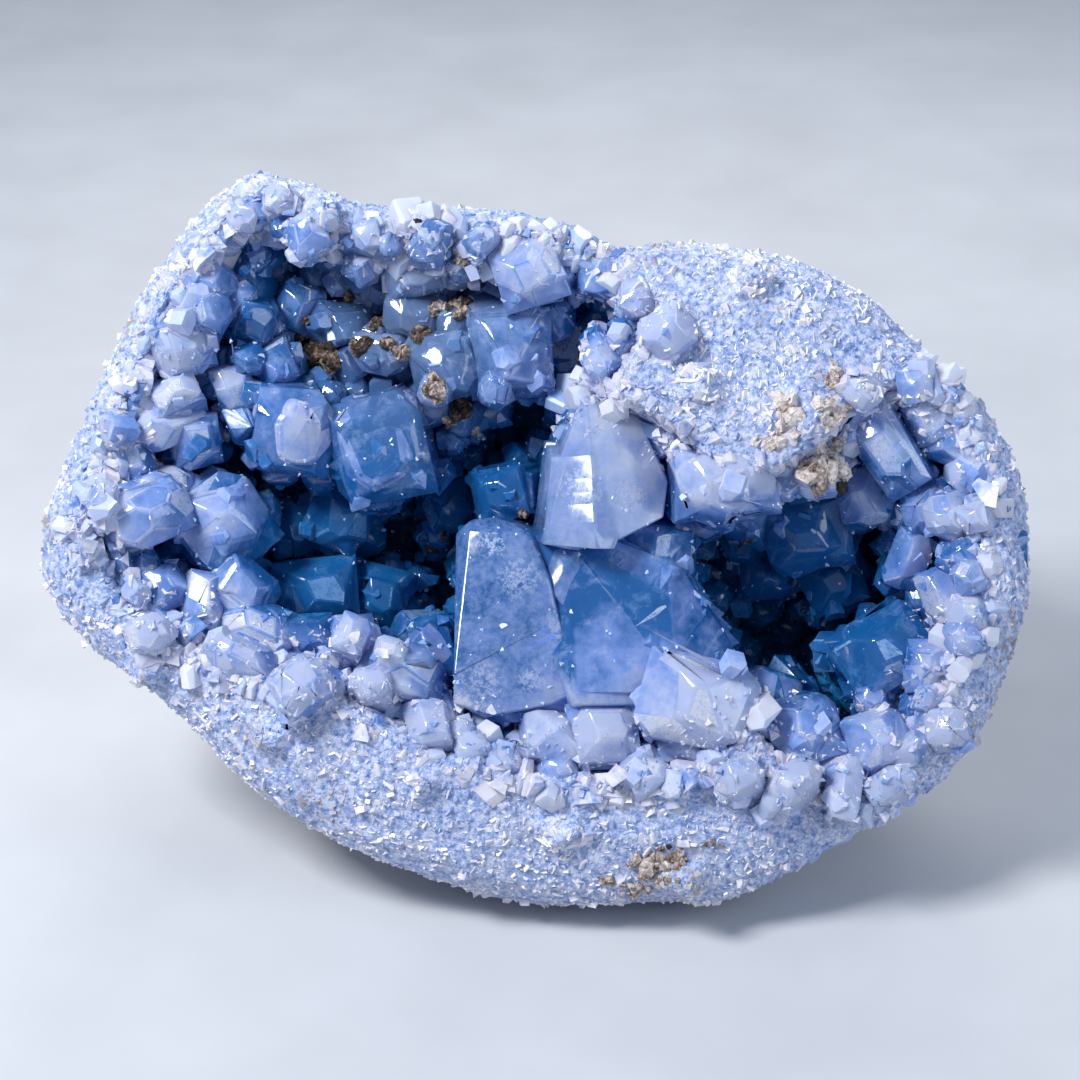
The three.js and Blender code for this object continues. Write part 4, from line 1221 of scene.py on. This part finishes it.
# %% Sugar on the crystals near the rim
points, normals = draw_points(crust, 115000)
near_rim = rimward(points) * np.where(mouth_view(points)[:, 2] < -14, 1.3, 1)
patchy = np.sin(points @ np.array((310, 170, 90))) * np.sin(points @ np.array((-140, 260, 230)))
sugared = near_rim ** 1.7 * (0.75 + 0.5 * patchy) > chance.uniform(0.16, 0.8, len(points))
chosen = away_from_wall(points) & off_clear_faces(points) & sugared
points, normals, width = with_room(points[chosen], normals[chosen], (0.7, 2.1), 0.7)
axes = scattered(normals, 0.4)
sizes = width * chance.uniform(0.8, 1.3, (len(width), 3))
points = points - normals * sunk(width, 0.3, 0.5)
sow("crystal_sugar", grain_forms, points, axes, sizes, grains.material)

# %% Sparkling specks
specks = Finish("speck_glass", Roughness=0.06, IOR=CELESTITE_IOR)
specks.set(Base_Color=specks.ramp(specks.noise(3), [(0.35, (0.3, 0.5, 0.9)), (0.65, (0.85, 0.9, 1))]))
points, normals = draw_points(crust, 3000)
chosen = away_from_wall(points)
points, normals = points[chosen], normals[chosen]
width = chance.uniform(0.4, 0.95, (len(points), 1)) ** 1.4 * MM
sizes = proportions(width, (0.7, 1.5), (0.8, 1.2))
axes = scattered(normals, 0.6)
points = points - normals * width * 0.2
sow("specks", grain_forms, points, axes, sizes, specks.material)

# %% [markdown]
# ## Host rock
# Crumbs of the rock that the geode grew in are caught among the crystals: dark brown high in the left
# hollow, and a cream, craggy knot between the hollows. Each crumb is cut by many planes, like a crystal but
# without any order, and then roughened. Four crumbs are modelled, and copies of them are laid on the
# surface.

# %% Host rock finish
ROCK_TONES = [(0.0, (0.02, 0.015, 0.012)), (0.25, (0.1, 0.06, 0.032)), (0.5, (0.33, 0.25, 0.21)),
              (0.75, (0.58, 0.5, 0.46)), (1.0, (0.78, 0.72, 0.68))]
rock = Finish("host_rock", Roughness=0.85, IOR=1.5)
grit = rock.range(rock.noise(1.1, 4, 0.75), 0.32, 0.68, -0.5, 0.32)
rock.set(Base_Color=rock.ramp(rock.plus(rock.attribute("tone"), grit), ROCK_TONES),
         Normal=rock.bump(rock.noise(0.8, 4, 0.8), 0.5, 0.9))

# %% Crumbs of rock
CRUMB_SIDES = 16
rock_forms = []
for number in range(4):
    form = new_cube(f"rock_form_{number}", 3)
    directions = unit(chance.normal(0, 1, (CRUMB_SIDES, 3)))
    with editing(form):
        cut([(tuple(direction), chance.uniform(0.4, 0.52)) for direction in directions])
        bpy.ops.mesh.quads_convert_to_tris()
        bpy.ops.mesh.subdivide(number_cuts=1, fractal=0.5, seed=number)
    rock_forms.append(form)
HOST_ROCK = [
    ((53.7, 26.4), (5.6, 12.6), 1.0), ((64, 35), (4, 7.5), 0.85), ((62.9, 28.2), (6.5, 8), 0.95),
    ((60.9, 16.1), (7.5, 9), 0.8), ((47, 20.8), (3.4, 3.2), 1.0), ((51.4, 20.6), (5, 4.5), 0.95),
    ((66.9, 12), (3.6, 3.6), 0.15), ((64.9, 21), (5.5, 3.4), 0.7), ((66.3, 15), (4.5, 5), 1.0),
    ((-47.3, 42), (9.5, 7), 0.25), ((-38.2, 43), (7, 4.4), 0.5), ((-41.5, 54.6), (4.4, 3.2), 0.2),
    ((-35.5, 48.8), (3.4, 4), 0.4), ((-32.4, 43.7), (4, 4), 0.5), ((-28.7, 41.7), (5, 4.4), 0.5),
    ((-24.7, 45.5), (5, 4), 0.45), ((-21.6, 51.8), (5.4, 4.2), 0.55), ((-16.5, 51.5), (6, 5), 0.4),
    ((-15.8, 60.6), (5, 3.2), 0.7), ((-25.3, 68.7), (2, 2.6), 0.2), ((-21.9, 32.9), (6, 6), 0.6),
    ((-16.2, 29.8), (6, 5), 0.2), ((-18.5, 26.8), (4.4, 3.4), 0.5), ((-13.5, 25.2), (3, 3), 0.7),
    ((-52.4, 45.7), (2.8, 3), 0.4), ((-51, 49.5), (2.4, 3), 0.55), ((-3.1, 6.6), (3.2, 3.2), 0.35),
    ((-24.3, -1.1), (4, 2.6), 0.15), ((-21, 1.5), (2.6, 2.4), 0.2), ((47, 0), (2.4, 2.2), 0.3),
    ((24.1, -69.5), (9.5, 5), 0.75), ((29.8, -68.1), (7, 3.6), 0.7), ((21.6, -75.1), (8.4, 4), 0.8),
    ((15.7, -72.9), (5.4, 2.8), 0.7), ((28.4, -72.6), (6, 3), 0.65), ((28.6, -65.5), (5.5, 1.8), 0.3),
    ((38.2, -65), (5, 2.2), 0.5),
]
seen_surfaces = [surface_of(crust), surface_of(wall)]
rock_parts = []
for at, size, tone in HOST_ROCK:
    for number in range(max(5, round(size[0] * size[1] / 2))):
        spread = chance.uniform(0, 0.42) if number else 0.0
        side = chance.uniform(0, 2 * math.pi)
        right = at[0] + math.cos(side) * size[0] * spread
        up = at[1] + math.sin(side) * size[1] * spread
        place = in_front(right, up, seen_surfaces)
        form = rock_forms[chance.integers(len(rock_forms))]
        crumb = bpy.data.objects.new("crumb", form.data.copy())
        width = min(size) * chance.uniform(0.26, 0.56) * (1 if number else 1.5) * MM
        turn = Matrix(bases(unit(chance.normal(0, 1, (1, 3))), chance.uniform(0, 6, 1))[0]).to_4x4()
        scale = Matrix.Diagonal((width * chance.uniform(0.8, 1.25), width, width, 1))
        crumb.data.transform(Matrix.Translation(place) @ turn @ scale)
        give(crumb, "tone", tone + chance.uniform(-0.26, 0.14))
        bpy.context.scene.collection.objects.link(crumb)
        rock_parts.append(crumb)
host_rock = rock_parts[0]
pick(host_rock)
for crumb in rock_parts:
    crumb.select_set(True)
bpy.ops.object.join()
host_rock.name = "host_rock"
host_rock.data.materials.append(rock.material)
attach(host_rock, "root")
print("host rock:", len(host_rock.data.polygons), "faces")

for guide in grain_forms + lip_forms + small_forms + rock_forms + [wall_cad, crust_cad]:
    bpy.data.objects.remove(guide)
